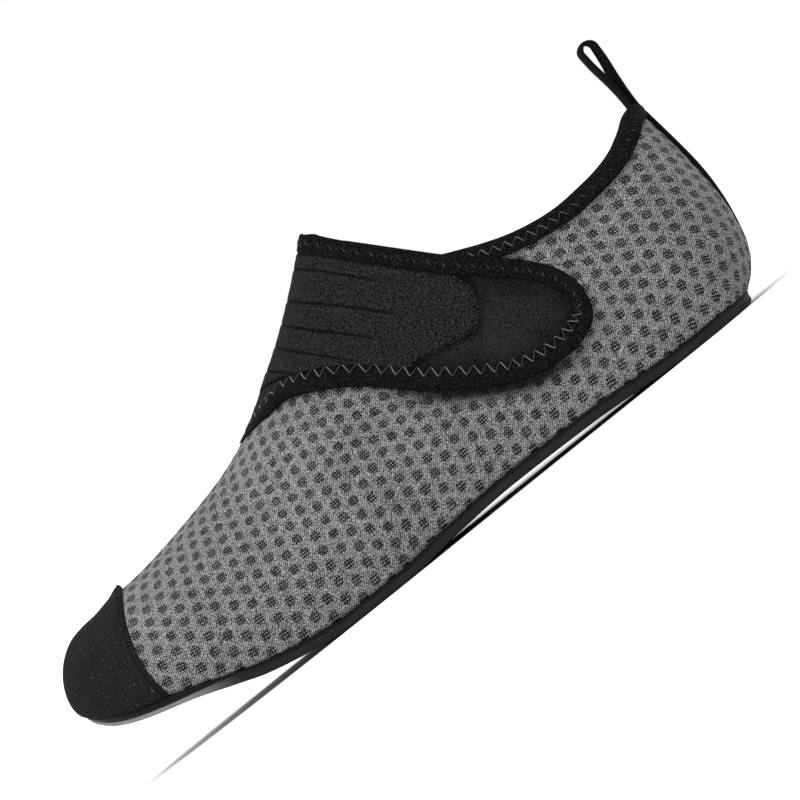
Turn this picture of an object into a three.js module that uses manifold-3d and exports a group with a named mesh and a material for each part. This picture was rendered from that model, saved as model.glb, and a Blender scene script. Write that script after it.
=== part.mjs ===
// Water shoe for the left foot: a thin mesh sock upper on a flexible rubber sole,
// closed by one padded strap over the instep.
// Lengths run forward from the rearmost point of the heel, sideways towards the
// outer side of the foot, and upwards from the floor. All sizes are millimetres.
import * as THREE from "three";
import { mergeVertices } from "three/addons/utils/BufferGeometryUtils.js";
import Module from "manifold-3d";

const wasm = await Module();
wasm.setup();

// Driving sizes of the whole shoe
const shoeLength = 275;
const ballWidth = 96;
const heelWidth = 67;
const collarWidth = 54;
const instepHeight = 110;
const toeHeight = 54;
const collarHeight = 66;

// Sole
const soleEdge = 4.2;
const archHeight = 3;
const toeSpring = 26.8;
const soleRim = 0.9;
const soleBevel = 3.4;
const rimStep = 0.5;
const rimHeight = 1;
const treadDepth = 1.2;
const treadPitch = 9.5;
const treadGroove = 2;
const treadWave = 7;
const treadMargin = 8;
const archStart = 0.24;
const archEnd = 0.52;
const sidewallFoot = 0.45;
const bevelKnee = 0.15;
const bevelKneeInset = 0.4;

// Walls, layers and clearances
const wall = 1.5;
const gap = 0.3;
const insoleThickness = 3;
const capThickness = 1;
const strapThickness = 1.6;
const tabThickness = 1.2;
const bindingThickness = 1.9;
const bindingWidth = 6.3;
const collarTape = 1;
const heelTapeWidth = 9;
const heelTapeThickness = 0.9;
const heelTapeFoot = 17;
const pleatDepth = 0.5;
const pleatWidth = 0.9;
const pleatPitch = 8;
const pleatCount = 4;
const pleatStart = 6.4;
const pleatLength = 46;
const frontSetBack = 2.1;
const frontSpread = 0.03;

// Pull loop
const loopHeight = 25.5;
const loopDepth = 6.3;
const loopBase = 2.4;
const loopTape = 1.1;
const loopWidth = 8;
const loopTwist = 16;
const loopFootLength = 5.5;
const loopFootHeight = 76.7;
const loopWaist = 0.3;
const loopShoulder = 0.45;
const eyeFoot = 0.32;
const eyeWaist = 0.4;
const eyeShoulder = 0.55;
const eyeNarrow = 0.4;

// Detail of the faceted surfaces
const columns = 70;
const surfaceRows = 8;
const skirtDepth = 8;
const collarSteps = 24;
const strapSteps = 40;
const frontSteps = 32;
const capSteps = 20;
const soleSteps = 60;

// Shares of the length over which the local width and height change
const widthStart = 0.2;
const widthSpan = 0.4;
const heightStart = 0.5;
const heightSpan = 0.22;

// The form is the outer face of the mesh upper. The heel tape and the toe cap lie on it.
const formBack = heelTapeThickness + gap;
const formLength = shoeLength - formBack - capThickness - gap;

// Underside of the sole. along is a share of the shoe length, arch a share of the
// arch height and spring a share of the toe spring.
const soleProfile = [
  { along: 0, arch: 0, spring: 0 },
  { along: 0.165, arch: 0, spring: 0 },
  { along: 0.22, arch: 0.35, spring: 0 },
  { along: 0.3, arch: 0.8, spring: 0 },
  { along: 0.42, arch: 1, spring: 0 },
  { along: 0.52, arch: 0.55, spring: 0 },
  { along: 0.58, arch: 0, spring: 0 },
  { along: 0.672, arch: 0, spring: 0 },
  { along: 0.73, arch: 0, spring: 0.075 },
  { along: 0.785, arch: 0, spring: 0.19 },
  { along: 0.82, arch: 0, spring: 0.31 },
  { along: 0.87, arch: 0, spring: 0.49 },
  { along: 0.94, arch: 0, spring: 0.69 },
  { along: 0.97, arch: 0, spring: 0.82 },
  { along: 1, arch: 0, spring: 1.06 },
];

// Sections of the form from heel to toe. Each climbs from the foot line to the crest.
// foot and crest are shares of the form length, lateral, medial, side and reach of the
// local width, half of the collar width, and rise of the local height. out and lift
// pull the wall out over the foot line, as shares of the local width and of the climb.
// ahead, reach and drop pull it from the crest: shares of the form length, of the local
// width and of the crest's own height.
const sections = [
  {
    foot: 0.047, lateral: 0, medial: 0, out: 0.4, lift: 0.13,
    crest: 0.032, side: 0, half: 0, rise: 1.2,
    ahead: 0.009, reach: 0, drop: 0.395,
  },
  {
    foot: 0.06, lateral: 0.23, medial: 0.23, out: 0.3, lift: 0.17,
    crest: 0.047, side: 0, half: 0.27, rise: 1.2,
    ahead: 0.01, reach: 0.02, drop: 0.4,
  },
  {
    foot: 0.11, lateral: 0.42, medial: 0.42, out: 0.12, lift: 0.24,
    crest: 0.1, side: 0, half: 0.44, rise: 1.2,
    ahead: 0.012, reach: 0.03, drop: 0.42,
  },
  {
    foot: 0.18, lateral: 0.475, medial: 0.47, out: 0.085, lift: 0.28,
    crest: 0.17, side: 0, half: 0.5, rise: 1.2,
    ahead: 0.02, reach: 0.03, drop: 0.42,
  },
  {
    foot: 0.265, lateral: 0.475, medial: 0.455, out: 0.07, lift: 0.32,
    crest: 0.24, side: 0, half: 0.47, rise: 1.2,
    ahead: 0.04, reach: 0.05, drop: 0.42,
  },
  {
    foot: 0.35, lateral: 0.46, medial: 0.42, out: 0.06, lift: 0.36,
    crest: 0.3, side: 0, half: 0.36, rise: 1.2,
    ahead: 0.07, reach: 0.1, drop: 0.4,
  },
  {
    foot: 0.43, lateral: 0.455, medial: 0.4, out: 0.055, lift: 0.4,
    crest: 0.335, side: 0, half: 0.19, rise: 1.2,
    ahead: 0.09, reach: 0.14, drop: 0.32,
  },
  {
    foot: 0.51, lateral: 0.465, medial: 0.42, out: 0.05, lift: 0.42,
    crest: 0.345, side: 0, half: 0, rise: 1.2,
    ahead: 0.1, reach: 0.17, drop: 0.22,
  },
  {
    foot: 0.59, lateral: 0.485, medial: 0.46, out: 0.05, lift: 0.42,
    crest: 0.432, side: 0, half: 0, rise: 0.981,
    ahead: 0.06, reach: 0.22, drop: 0.12,
  },
  {
    foot: 0.665, lateral: 0.5, medial: 0.485, out: 0.05, lift: 0.42,
    crest: 0.55, side: 0, half: 0, rise: 0.807,
    ahead: 0.03, reach: 0.26, drop: 0.07,
  },
  {
    foot: 0.74, lateral: 0.495, medial: 0.49, out: 0.05, lift: 0.42,
    crest: 0.665, side: 0, half: 0, rise: 1.065,
    ahead: 0.02, reach: 0.28, drop: 0.03,
  },
  {
    foot: 0.81, lateral: 0.455, medial: 0.475, out: 0.05, lift: 0.42,
    crest: 0.76, side: 0.01, half: 0, rise: 1.115,
    ahead: 0.015, reach: 0.28, drop: 0.015,
  },
  {
    foot: 0.88, lateral: 0.385, medial: 0.44, out: 0.05, lift: 0.38,
    crest: 0.83, side: 0.03, half: 0, rise: 1.055,
    ahead: 0.02, reach: 0.26, drop: 0.01,
  },
  {
    foot: 0.94, lateral: 0.28, medial: 0.38, out: 0.05, lift: 0.32,
    crest: 0.88, side: 0.05, half: 0, rise: 1.03,
    ahead: 0.04, reach: 0.2, drop: 0,
  },
  {
    foot: 0.982, lateral: 0.11, medial: 0.26, out: 0.05, lift: 0.22,
    crest: 0.905, side: 0.065, half: 0, rise: 1,
    ahead: 0.065, reach: 0.1, drop: -0.02,
  },
  {
    foot: 0.996, lateral: -0.08, medial: 0.08, out: 0.055, lift: 0.12,
    crest: 0.915, side: 0.075, half: 0, rise: 0.996,
    ahead: 0.074, reach: 0, drop: -0.03,
  },
];
const lastSection = sections.length - 1;
const throatSection = sections.findIndex((row, place) => place > 0 && row.half === 0);

// Top edge of the collar from the heel to the strap, as shares of the shoe length and
// of the collar height. The strap's straight top edge goes on from its last row.
const collarEdge = [
  { along: -0.1, high: 1.2 },
  { along: 0.03, high: 1.144 },
  { along: 0.052, high: 1.088 },
  { along: 0.075, high: 1.04 },
  { along: 0.1, high: 1.011 },
  { along: 0.135, high: 0.994 },
  { along: 0.17, high: 0.988 },
  { along: 0.22, high: 1.016 },
  { along: 0.26, high: 1.065 },
  { along: 0.3152, high: 1.162 },
];

// Edge of the strap on the outer side, from the top corner back round the rounded end
// and forward to the tip, as shares of the shoe length and of the instep height.
const strapEdge = [
  { along: 0.3152, high: 0.697 },
  { along: 0.2432, high: 0.5315 },
  { along: 0.2191, high: 0.4565 },
  { along: 0.2083, high: 0.375 },
  { along: 0.2167, high: 0.276 },
  { along: 0.2432, high: 0.222 },
  { along: 0.2792, high: 0.207 },
  { along: 0.3393, high: 0.2327 },
  { along: 0.3873, high: 0.2823 },
  { along: 0.4378, high: 0.4054 },
  { along: 0.4834, high: 0.5225 },
  { along: 0.5279, high: 0.5976 },
  { along: 0.5735, high: 0.6426 },
  { along: 0.6, high: 0.625 },
  { along: 0.66, high: 0.5 },
];

// Front edge of the strap seen from above, from its tip on the crest to the outer side,
// as shares of the shoe length and of the ball width
const strapArch = [
  { along: 0.6458, across: 0 },
  { along: 0.637, across: 0.065 },
  { along: 0.618, across: 0.135 },
  { along: 0.597, across: 0.195 },
  { along: 0.578, across: 0.26 },
  { along: 0.567, across: 0.34 },
  { along: 0.56, across: 0.5 },
];

// Edge of the strap's sewn root on the inner side, in the same shares
const rootEdge = [
  { along: 0.3152, high: 0.697 },
  { along: 0.29, high: 0.6 },
  { along: 0.282, high: 0.52 },
  { along: 0.296, high: 0.455 },
  { along: 0.335, high: 0.435 },
  { along: 0.39, high: 0.44 },
  { along: 0.44, high: 0.47 },
  { along: 0.4834, high: 0.5225 },
  { along: 0.5279, high: 0.5976 },
  { along: 0.5735, high: 0.6426 },
  { along: 0.6, high: 0.625 },
  { along: 0.66, high: 0.5 },
];

// Line where the ribbed panel ends on the smooth tab, in the same shares
const panelEnd = [
  { along: 0.335, high: 0.74 },
  { along: 0.322, high: 0.625 },
  { along: 0.304, high: 0.565 },
  { along: 0.308, high: 0.495 },
  { along: 0.322, high: 0.45 },
  { along: 0.37, high: 0.462 },
  { along: 0.42, high: 0.482 },
  { along: 0.47, high: 0.44 },
];

// Rear edge of the toe cap, as shares of the shoe length and of the toe height
const capEdge = [
  { along: 0.83, high: 1.35 },
  { along: 0.861, high: 1.06 },
  { along: 0.866, high: 1.01 },
  { along: 0.881, high: 0.88 },
  { along: 0.893, high: 0.7 },
  { along: 0.897, high: 0.55 },
  { along: 0.894, high: 0.38 },
  { along: 0.886, high: 0.15 },
];

function mix(from, to, share) {
  return from + (to - from) * share;
}

function ease(value) {
  const share = Math.min(Math.max(value, 0), 1);
  return share * share * (3 - 2 * share);
}

// A smooth curve through one column of a table, flat wherever two rows are equal
function tableValue(rows, column, at) {
  const slopes = [];
  for (let place = 0; place < rows.length - 1; place += 1) {
    const step = rows[place + 1].along - rows[place].along;
    slopes.push((rows[place + 1][column] - rows[place][column]) / step);
  }
  let row = 0;
  while (row < rows.length - 2 && rows[row + 1].along < at) {
    row += 1;
  }
  const knotSlope = (place) => {
    const before = slopes[Math.max(place - 1, 0)];
    const after = slopes[Math.min(place, slopes.length - 1)];
    return before * after > 0 ? (2 * before * after) / (before + after) : 0;
  };
  const step = rows[row + 1].along - rows[row].along;
  const share = Math.min(Math.max((at - rows[row].along) / step, 0), 1);
  const rise = ease(share);
  const enter = share * (1 - share) * (1 - share) * step;
  const leave = share * share * (share - 1) * step;
  return mix(rows[row][column], rows[row + 1][column], rise)
    + enter * knotSlope(row) + leave * knotSlope(row + 1);
}

function soleBottom(length) {
  const along = length / shoeLength;
  const arch = archHeight * tableValue(soleProfile, "arch", along);
  return arch + toeSpring * tableValue(soleProfile, "spring", along);
}

function soleTop(length) {
  return soleBottom(length) + soleEdge;
}

function localWidth(along) {
  return mix(heelWidth, ballWidth, ease((along - widthStart) / widthSpan));
}

function localHeight(along) {
  return mix(instepHeight, toeHeight, ease((along - heightStart) / heightSpan));
}

// One point for each section, out along the outer side and back along the inner side
function roundLoop(pointOf) {
  const points = [];
  for (let row = 0; row <= lastSection; row += 1) {
    points.push(pointOf(sections[row], 1));
  }
  for (let row = lastSection - 1; row > 0; row -= 1) {
    points.push(pointOf(sections[row], -1));
  }
  return points;
}

function sampled(points) {
  const curve = new THREE.CatmullRomCurve3(points, true, "centripetal");
  const samples = [];
  for (let column = 0; column < columns; column += 1) {
    samples.push(curve.getPoint(column / columns));
  }
  return samples;
}

function footPoint(row, side) {
  const share = side > 0 ? row.lateral : -row.medial;
  const length = formBack + row.foot * formLength;
  return new THREE.Vector3(length, share * localWidth(row.foot), soleTop(length) + gap);
}

function crestPoint(row, side) {
  const length = formBack + row.crest * formLength;
  const across = side * row.half * collarWidth - row.side * localWidth(row.crest);
  return new THREE.Vector3(length, across, row.rise * localHeight(row.crest));
}

function highPoint(row, side) {
  const pull = new THREE.Vector3();
  pull.x = row.ahead * formLength;
  pull.y = side * row.reach * localWidth(row.foot);
  pull.z = -row.drop * row.rise * localHeight(row.crest);
  return crestPoint(row, side).add(pull);
}

// Outward direction in plan at each point of a closed loop
function outward(points) {
  return points.map((point, place) => {
    const before = points[(place + points.length - 1) % points.length];
    const after = points[(place + 1) % points.length];
    return new THREE.Vector3(before.y - after.y, after.x - before.x, 0).normalize();
  });
}

function lowLoop() {
  const feet = roundLoop(footPoint);
  const crests = roundLoop(crestPoint);
  const rows = roundLoop((row) => row);
  const directions = outward(feet);
  return feet.map((foot, place) => {
    const row = rows[place];
    const low = foot.clone().addScaledVector(directions[place], row.out * localWidth(row.foot));
    low.z += row.lift * (crests[place].z - foot.z);
    return low;
  });
}

const footLine = sampled(roundLoop(footPoint));
const footOutward = outward(footLine);

// The wall of the form: columns round the shoe, rows from below the foot line up
function formWall() {
  const low = sampled(lowLoop());
  const high = sampled(roundLoop(highPoint));
  const crest = sampled(roundLoop(crestPoint));
  const throat = throatSection * columns / (2 * lastSection);
  const vertices = [];
  const ids = [];
  for (let column = 0; column < columns; column += 1) {
    const mirror = (columns - column) % columns;
    const onRidge = Math.min(column, mirror) >= throat;
    if (onRidge) {
      const first = crest[Math.min(column, mirror)];
      crest[column].lerpVectors(first, crest[Math.max(column, mirror)], 0.5);
    }
    const foot = footLine[column];
    const bend = new THREE.CubicBezierCurve3(foot, low[column], high[column], crest[column]);
    const below = foot.clone();
    below.z -= skirtDepth;
    const ring = [vertices.push(below) - 1];
    for (let row = 0; row <= surfaceRows; row += 1) {
      const shared = row === surfaceRows && onRidge && column > mirror;
      const own = () => vertices.push(bend.getPoint(row / surfaceRows)) - 1;
      ring.push(shared ? ids[mirror][row + 1] : own());
    }
    ids.push(ring);
  }
  return { vertices, ids };
}

function wallFaces(ids) {
  const faces = [];
  for (let column = 0; column < columns; column += 1) {
    const here = ids[column];
    const next = ids[(column + 1) % columns];
    for (let row = 0; row < here.length - 1; row += 1) {
      addQuad(faces, here[row], here[row + 1], next[row + 1], next[row]);
    }
  }
  return faces;
}

function addQuad(faces, a, b, c, d) {
  addFace(faces, a, b, c);
  addFace(faces, a, c, d);
}

function addFace(faces, a, b, c) {
  if (a !== b && b !== c && c !== a) {
    faces.push(a, b, c);
  }
}

// Strips across a closed ring, from the outer side to the inner side
function ringCap(ring, up) {
  const faces = [];
  const count = ring.length;
  for (let place = 0; place < count / 2; place += 1) {
    const across = (count - place) % count;
    const next = ring[place + 1];
    const nextAcross = ring[count - place - 1];
    if (up) {
      addQuad(faces, ring[place], ring[across], nextAcross, next);
    } else {
      addQuad(faces, ring[place], next, nextAcross, ring[across]);
    }
  }
  return faces;
}

const form = formWall();
const formFaces = wallFaces(form.ids);
const formNormals = vertexNormals(form.vertices, formFaces);

function vertexNormals(vertices, faces) {
  const geometry = geometryOf(vertices, faces);
  geometry.computeVertexNormals();
  const normals = geometry.getAttribute("normal");
  return vertices.map((vertex, place) => new THREE.Vector3().fromBufferAttribute(normals, place));
}

function geometryOf(vertices, faces) {
  const geometry = new THREE.BufferGeometry().setFromPoints(vertices);
  geometry.setIndex(faces);
  return geometry;
}

// A closed solid of the form, grown outwards by a distance
function grownForm(distance) {
  const vertices = form.vertices.map((vertex, place) => {
    return vertex.clone().addScaledVector(formNormals[place], distance);
  });
  const bottom = form.ids.map((ring) => ring[0]);
  const top = form.ids.map((ring) => ring[ring.length - 1]);
  const faces = formFaces.concat(ringCap(bottom, false), ringCap(top, true));
  return solidOf(geometryOf(vertices, faces));
}

function solidOf(geometry) {
  const plain = geometry.clone();
  plain.deleteAttribute("normal");
  plain.deleteAttribute("uv");
  const merged = mergeVertices(plain, 1e-5);
  const mesh = new wasm.Mesh({
    numProp: 3,
    vertProperties: merged.getAttribute("position").array,
    triVerts: Uint32Array.from(merged.getIndex().array),
  });
  return new wasm.Manifold(mesh);
}

function shell(inner, outer) {
  return grownForm(outer).subtract(grownForm(inner));
}

// A block with a side outline, lengths forward and heights up, between two widths
function sideBlock(outline, from, to) {
  const shape = new THREE.Shape(outline);
  const geometry = new THREE.ExtrudeGeometry(shape, { depth: to - from, bevelEnabled: false });
  geometry.rotateX(Math.PI / 2);
  geometry.translate(0, to, 0);
  return solidOf(geometry);
}

// A block with an outline seen from above, lengths forward and widths sideways
function planBlock(outline) {
  const shape = new THREE.Shape(outline);
  const geometry = new THREE.ExtrudeGeometry(shape, { depth: far, bevelEnabled: false });
  geometry.translate(0, 0, -far / 4);
  return solidOf(geometry);
}

// Reach of the cutting blocks, safely past the shoe on every side
const far = shoeLength;

function tablePoints(rows, height) {
  return rows.map((row) => new THREE.Vector3(row.along * shoeLength, row.high * height, 0));
}

function smoothLine(points, count) {
  const curve = new THREE.CatmullRomCurve3(points, false, "centripetal");
  return curve.getPoints(count).map((point) => new THREE.Vector2(point.x, point.y));
}

// A line moved to its left by a distance, without the points that a tight bend would cross
function movedLine(line, distance) {
  const moved = line.map((point, place) => {
    const before = line[Math.max(place - 1, 0)];
    const after = line[Math.min(place + 1, line.length - 1)];
    const left = new THREE.Vector2(before.y - after.y, after.x - before.x).normalize();
    return point.clone().addScaledVector(left, distance);
  });
  const clear = Math.abs(distance) - gap / 10;
  return moved.filter((point) => distanceToLine(point, line) >= clear);
}

function distanceToLine(point, line) {
  let nearest = Infinity;
  const closest = new THREE.Vector3();
  const segment = new THREE.Line3();
  const place = new THREE.Vector3(point.x, point.y, 0);
  for (let step = 1; step < line.length; step += 1) {
    segment.start.set(line[step - 1].x, line[step - 1].y, 0);
    segment.end.set(line[step].x, line[step].y, 0);
    segment.closestPointToPoint(place, true, closest);
    nearest = Math.min(nearest, closest.distanceTo(place));
  }
  return nearest;
}

// The strap's top corner, on the crest
const strapCorner = new THREE.Vector2(0.4281 * shoeLength, instepHeight);

function strapRise() {
  const start = tablePoints(strapEdge.slice(0, 1), instepHeight)[0];
  return new THREE.Vector2(strapCorner.x - start.x, strapCorner.y - start.y).normalize();
}

// The throat line: along the collar, then straight up the top edge of the strap
function throatLine(lowered) {
  const collar = smoothLine(tablePoints(collarEdge, collarHeight), collarSteps);
  const line = collar.concat([strapCorner.clone().addScaledVector(strapRise(), far / 3)]);
  return movedLine(line, -lowered);
}

function aboveThroat(lowered) {
  const line = throatLine(lowered);
  const corners = [new THREE.Vector2(far, far), new THREE.Vector2(-far, far)];
  return sideBlock(line.concat(corners), -far, far);
}

function belowSole() {
  const line = [];
  const past = far / 10;
  for (let step = 0; step <= soleSteps; step += 1) {
    const length = mix(-past, shoeLength + past, step / soleSteps);
    line.push(new THREE.Vector2(length, soleTop(length) + gap));
  }
  const corners = [new THREE.Vector2(shoeLength + past, -far), new THREE.Vector2(-past, -far)];
  return sideBlock(line.concat(corners), -far, far);
}

const soleBlock = belowSole();

// The strap's side outline with its edge moved inwards
function strapOutline(rows, inset) {
  const edge = smoothLine(tablePoints(rows, instepHeight), strapSteps);
  const top = strapCorner.clone().addScaledVector(strapRise(), far / 8);
  const line = movedLine([top].concat(edge), inset);
  const front = line[line.length - 1].clone();
  return line.concat([front.add(new THREE.Vector2(far / 10, far / 6))]);
}

// The strap's pointed front seen from above, drawn back over the crest by an inset
function strapFront(inset) {
  const setBack = frontSetBack * inset;
  const spread = 1 + frontSpread * inset;
  const half = strapArch.map((row) => {
    return new THREE.Vector3(row.along * shoeLength - setBack, row.across * ballWidth * spread, 0);
  });
  const other = half.slice(1).reverse().map((point) => new THREE.Vector3(point.x, -point.y, 0));
  const line = smoothLine(other.concat(half), frontSteps);
  return planBlock(line.concat([new THREE.Vector2(-far, far), new THREE.Vector2(-far, -far)]));
}

function strapBlock(inset) {
  const outer = sideBlock(strapOutline(strapEdge, inset), 0, far);
  const inner = sideBlock(strapOutline(rootEdge, inset), -far, 0);
  return outer.add(inner).intersect(strapFront(inset));
}

function makeUpper() {
  return shell(-wall, 0).subtract(aboveThroat(collarTape + gap)).subtract(soleBlock);
}

function makeToeCap() {
  const rear = smoothLine(tablePoints(capEdge, toeHeight), capSteps);
  const corners = [new THREE.Vector2(far * 1.2, 0), new THREE.Vector2(far * 1.2, far / 2)];
  const block = sideBlock(rear.concat(corners), -far, far);
  return shell(gap, gap + capThickness).intersect(block).subtract(soleBlock);
}

function makeCollarBinding() {
  const around = shell(-wall - gap - collarTape, gap + collarTape);
  const slot = shell(-wall - gap, gap).subtract(aboveThroat(collarTape));
  const band = around.subtract(aboveThroat(0)).intersect(aboveThroat(bindingWidth));
  return band.subtract(slot).subtract(strapBlock(-gap));
}

function makeStrapBinding() {
  const band = strapBlock(0).subtract(strapBlock(bindingWidth));
  return shell(gap, gap + bindingThickness).intersect(band);
}

function tabBlock(inset) {
  const edge = smoothLine(tablePoints(panelEnd, instepHeight), collarSteps);
  const line = movedLine(edge, inset);
  const corners = [new THREE.Vector2(far / 2, -far / 10), new THREE.Vector2(-far / 10, -far / 10)];
  return sideBlock(line.concat(corners, [new THREE.Vector2(-far / 10, far / 2)]), 0, far);
}

function pleatBlocks() {
  const rise = strapRise();
  const inwards = new THREE.Vector2(rise.y, -rise.x);
  const top = shell(gap + strapThickness - pleatDepth, gap + 3 * strapThickness);
  const bands = [];
  for (let pleat = 0; pleat < pleatCount; pleat += 1) {
    const depth = bindingWidth + pleatStart + pleat * pleatPitch;
    const middle = strapCorner.clone().addScaledVector(inwards, depth);
    const start = middle.clone().addScaledVector(rise, pleatPitch);
    const end = middle.clone().addScaledVector(rise, -pleatLength);
    const step = inwards.clone().multiplyScalar(pleatWidth);
    bands.push(sideBlock([start, end, end.clone().add(step), start.clone().add(step)], -far, far));
  }
  return wasm.Manifold.union(bands).intersect(top);
}

function makeStrapPanel() {
  const blank = shell(gap, gap + strapThickness).intersect(strapBlock(bindingWidth + gap));
  return blank.subtract(tabBlock(0)).subtract(pleatBlocks());
}

function makeStrapTab() {
  const blank = shell(gap, gap + tabThickness).intersect(strapBlock(bindingWidth + gap));
  return blank.intersect(tabBlock(-gap));
}

function makeHeelTape() {
  const half = heelTapeWidth / 2;
  const corners = [
    new THREE.Vector2(-far / 10, heelTapeFoot),
    new THREE.Vector2(far / 8, heelTapeFoot),
    new THREE.Vector2(far / 8, far / 2),
    new THREE.Vector2(-far / 10, far / 2),
  ];
  const block = sideBlock(corners, -half, half).subtract(aboveThroat(bindingWidth + gap));
  return shell(gap, gap + heelTapeThickness).intersect(block);
}

// A closed slab of rings that follow the foot line, from the top ring to the bottom one.
// Each ring has an inset from the foot line and a height over a length.
function slab(rings) {
  const vertices = [];
  const ids = rings.map((ring) => footLine.map((point, column) => {
    const moved = point.clone().addScaledVector(footOutward[column], -ring.inset);
    moved.z = ring.height(moved.x);
    return vertices.push(moved) - 1;
  }));
  const faces = [];
  for (let ring = 0; ring < rings.length - 1; ring += 1) {
    for (let column = 0; column < columns; column += 1) {
      const next = (column + 1) % columns;
      addQuad(faces, ids[ring][column], ids[ring][next], ids[ring + 1][next], ids[ring + 1][column]);
    }
  }
  const caps = ringCap(ids[0], true).concat(ringCap(ids[ids.length - 1], false));
  return solidOf(geometryOf(vertices, faces.concat(caps)));
}

// Chevron grooves across the tread, clear of the arch and of the edge
function treadGrooves() {
  const floor = (length) => soleBottom(length) + treadDepth;
  const under = (length) => soleBottom(length) - soleEdge;
  const field = slab([{ inset: treadMargin, height: floor }, { inset: treadMargin, height: under }]);
  const grooves = [];
  const count = Math.floor(shoeLength / treadPitch);
  for (let place = 1; place < count; place += 1) {
    const centre = place * treadPitch;
    const along = centre / shoeLength;
    const onArch = along > archStart && along < archEnd;
    if (!onArch) {
      grooves.push(chevron(centre));
    }
  }
  return wasm.Manifold.union(grooves).intersect(field);
}

function chevron(centre) {
  const half = treadGroove / 2;
  const reach = ballWidth;
  const back = treadWave;
  const shape = new THREE.Shape([
    new THREE.Vector2(centre + half, 0),
    new THREE.Vector2(centre - back + half, reach),
    new THREE.Vector2(centre - back - half, reach),
    new THREE.Vector2(centre - half, 0),
    new THREE.Vector2(centre - back - half, -reach),
    new THREE.Vector2(centre - back + half, -reach),
  ]);
  return planBlock(shape.getPoints());
}

function makeOutsole() {
  const side = (share) => (length) => soleBottom(length) + share * soleEdge;
  const body = slab([
    { inset: -soleRim, height: soleTop },
    { inset: -soleRim, height: (length) => soleTop(length) - rimHeight },
    { inset: -soleRim + rimStep, height: (length) => soleTop(length) - rimHeight },
    { inset: -soleRim + rimStep, height: side(sidewallFoot) },
    { inset: -soleRim + bevelKneeInset * soleBevel, height: side(bevelKnee) },
    { inset: -soleRim + soleBevel, height: soleBottom },
  ]);
  return body.subtract(treadGrooves());
}

function makeInsole() {
  const inset = wall + 2 * gap;
  const base = (length) => soleTop(length) + gap;
  return slab([
    { inset, height: (length) => base(length) + insoleThickness },
    { inset, height: base },
  ]);
}

// Webbing folded into a loop, seen from the side as an outline with a long eye
function makePullLoop() {
  const radius = loopDepth / 2;
  const eye = radius - loopTape;
  const half = loopBase / 2;
  const sunk = collarTape + bindingWidth;
  const top = loopHeight - radius;
  const waist = loopHeight * loopWaist;
  const shoulder = loopHeight * loopShoulder;
  const shape = new THREE.Shape();
  shape.moveTo(-half, -sunk);
  shape.lineTo(half, -sunk);
  shape.lineTo(half, 0);
  shape.bezierCurveTo(half, waist, radius, shoulder, radius, top);
  shape.absarc(0, top, radius, 0, Math.PI, false);
  shape.bezierCurveTo(-radius, shoulder, -half, waist, -half, 0);
  const low = loopHeight * eyeFoot;
  const narrow = eye * eyeNarrow;
  const eyeLow = loopHeight * eyeWaist;
  const eyeHigh = loopHeight * eyeShoulder;
  const hole = new THREE.Path();
  hole.moveTo(0, low);
  hole.bezierCurveTo(narrow, eyeLow, eye, eyeHigh, eye, top);
  hole.absarc(0, top, eye, 0, Math.PI, false);
  hole.bezierCurveTo(-eye, eyeHigh, -narrow, eyeLow, 0, low);
  shape.holes.push(hole);
  const detail = { depth: loopWidth, bevelEnabled: false, curveSegments: 8 };
  const geometry = new THREE.ExtrudeGeometry(shape, detail);
  geometry.translate(0, 0, -loopWidth / 2);
  geometry.rotateX(Math.PI / 2);
  geometry.rotateZ(THREE.MathUtils.degToRad(loopTwist));
  geometry.translate(formBack + loopFootLength, 0, loopFootHeight);
  return solidOf(geometry).intersect(aboveThroat(-gap));
}

const fabricRoughness = 0.9;
const rubberRoughness = 0.6;

function addPiece(group, name, solid, colour, roughness) {
  const mesh = solid.getMesh();
  const geometry = new THREE.BufferGeometry();
  geometry.setAttribute("position", new THREE.BufferAttribute(mesh.vertProperties, 3));
  geometry.setIndex(new THREE.BufferAttribute(mesh.triVerts, 1));
  const material = new THREE.MeshStandardMaterial({ color: colour, roughness, metalness: 0 });
  const piece = new THREE.Mesh(geometry, material);
  piece.name = name;
  group.add(piece);
}

// The shoe points its toe to -X and its outer side to -Y
const shoe = new THREE.Group();
addPiece(shoe, "outsole", makeOutsole(), 0x2a2d31, rubberRoughness);
addPiece(shoe, "insole", makeInsole(), 0x303236, fabricRoughness);
addPiece(shoe, "upper", makeUpper(), 0x6d6e70, fabricRoughness);
addPiece(shoe, "toe_cap", makeToeCap(), 0x1b1c1d, fabricRoughness);
addPiece(shoe, "collar_binding", makeCollarBinding(), 0x141516, fabricRoughness);
addPiece(shoe, "strap_panel", makeStrapPanel(), 0x1d1e20, fabricRoughness);
addPiece(shoe, "strap_tab", makeStrapTab(), 0x1f2022, fabricRoughness);
addPiece(shoe, "strap_binding", makeStrapBinding(), 0x141516, fabricRoughness);
addPiece(shoe, "heel_tape", makeHeelTape(), 0x151617, fabricRoughness);
addPiece(shoe, "pull_loop", makePullLoop(), 0x161718, fabricRoughness);

const box = new THREE.Box3().setFromObject(shoe);
const middle = box.getCenter(new THREE.Vector3());
shoe.rotation.z = Math.PI;
shoe.position.set(middle.x, middle.y, 0);

const part = new THREE.Group();
part.add(shoe);
export default part;
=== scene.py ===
"""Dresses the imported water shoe: knit upper, toe cap, strap, tapes, seams, loop and sole.

The form below repeats the shape of the part's source. Working points are millimetres:
forward from the heel, sideways to the outer side, up from the floor.
"""

import math
from types import SimpleNamespace

import bmesh
import bpy
import numpy as np
from mathutils import Matrix, Vector


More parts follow.
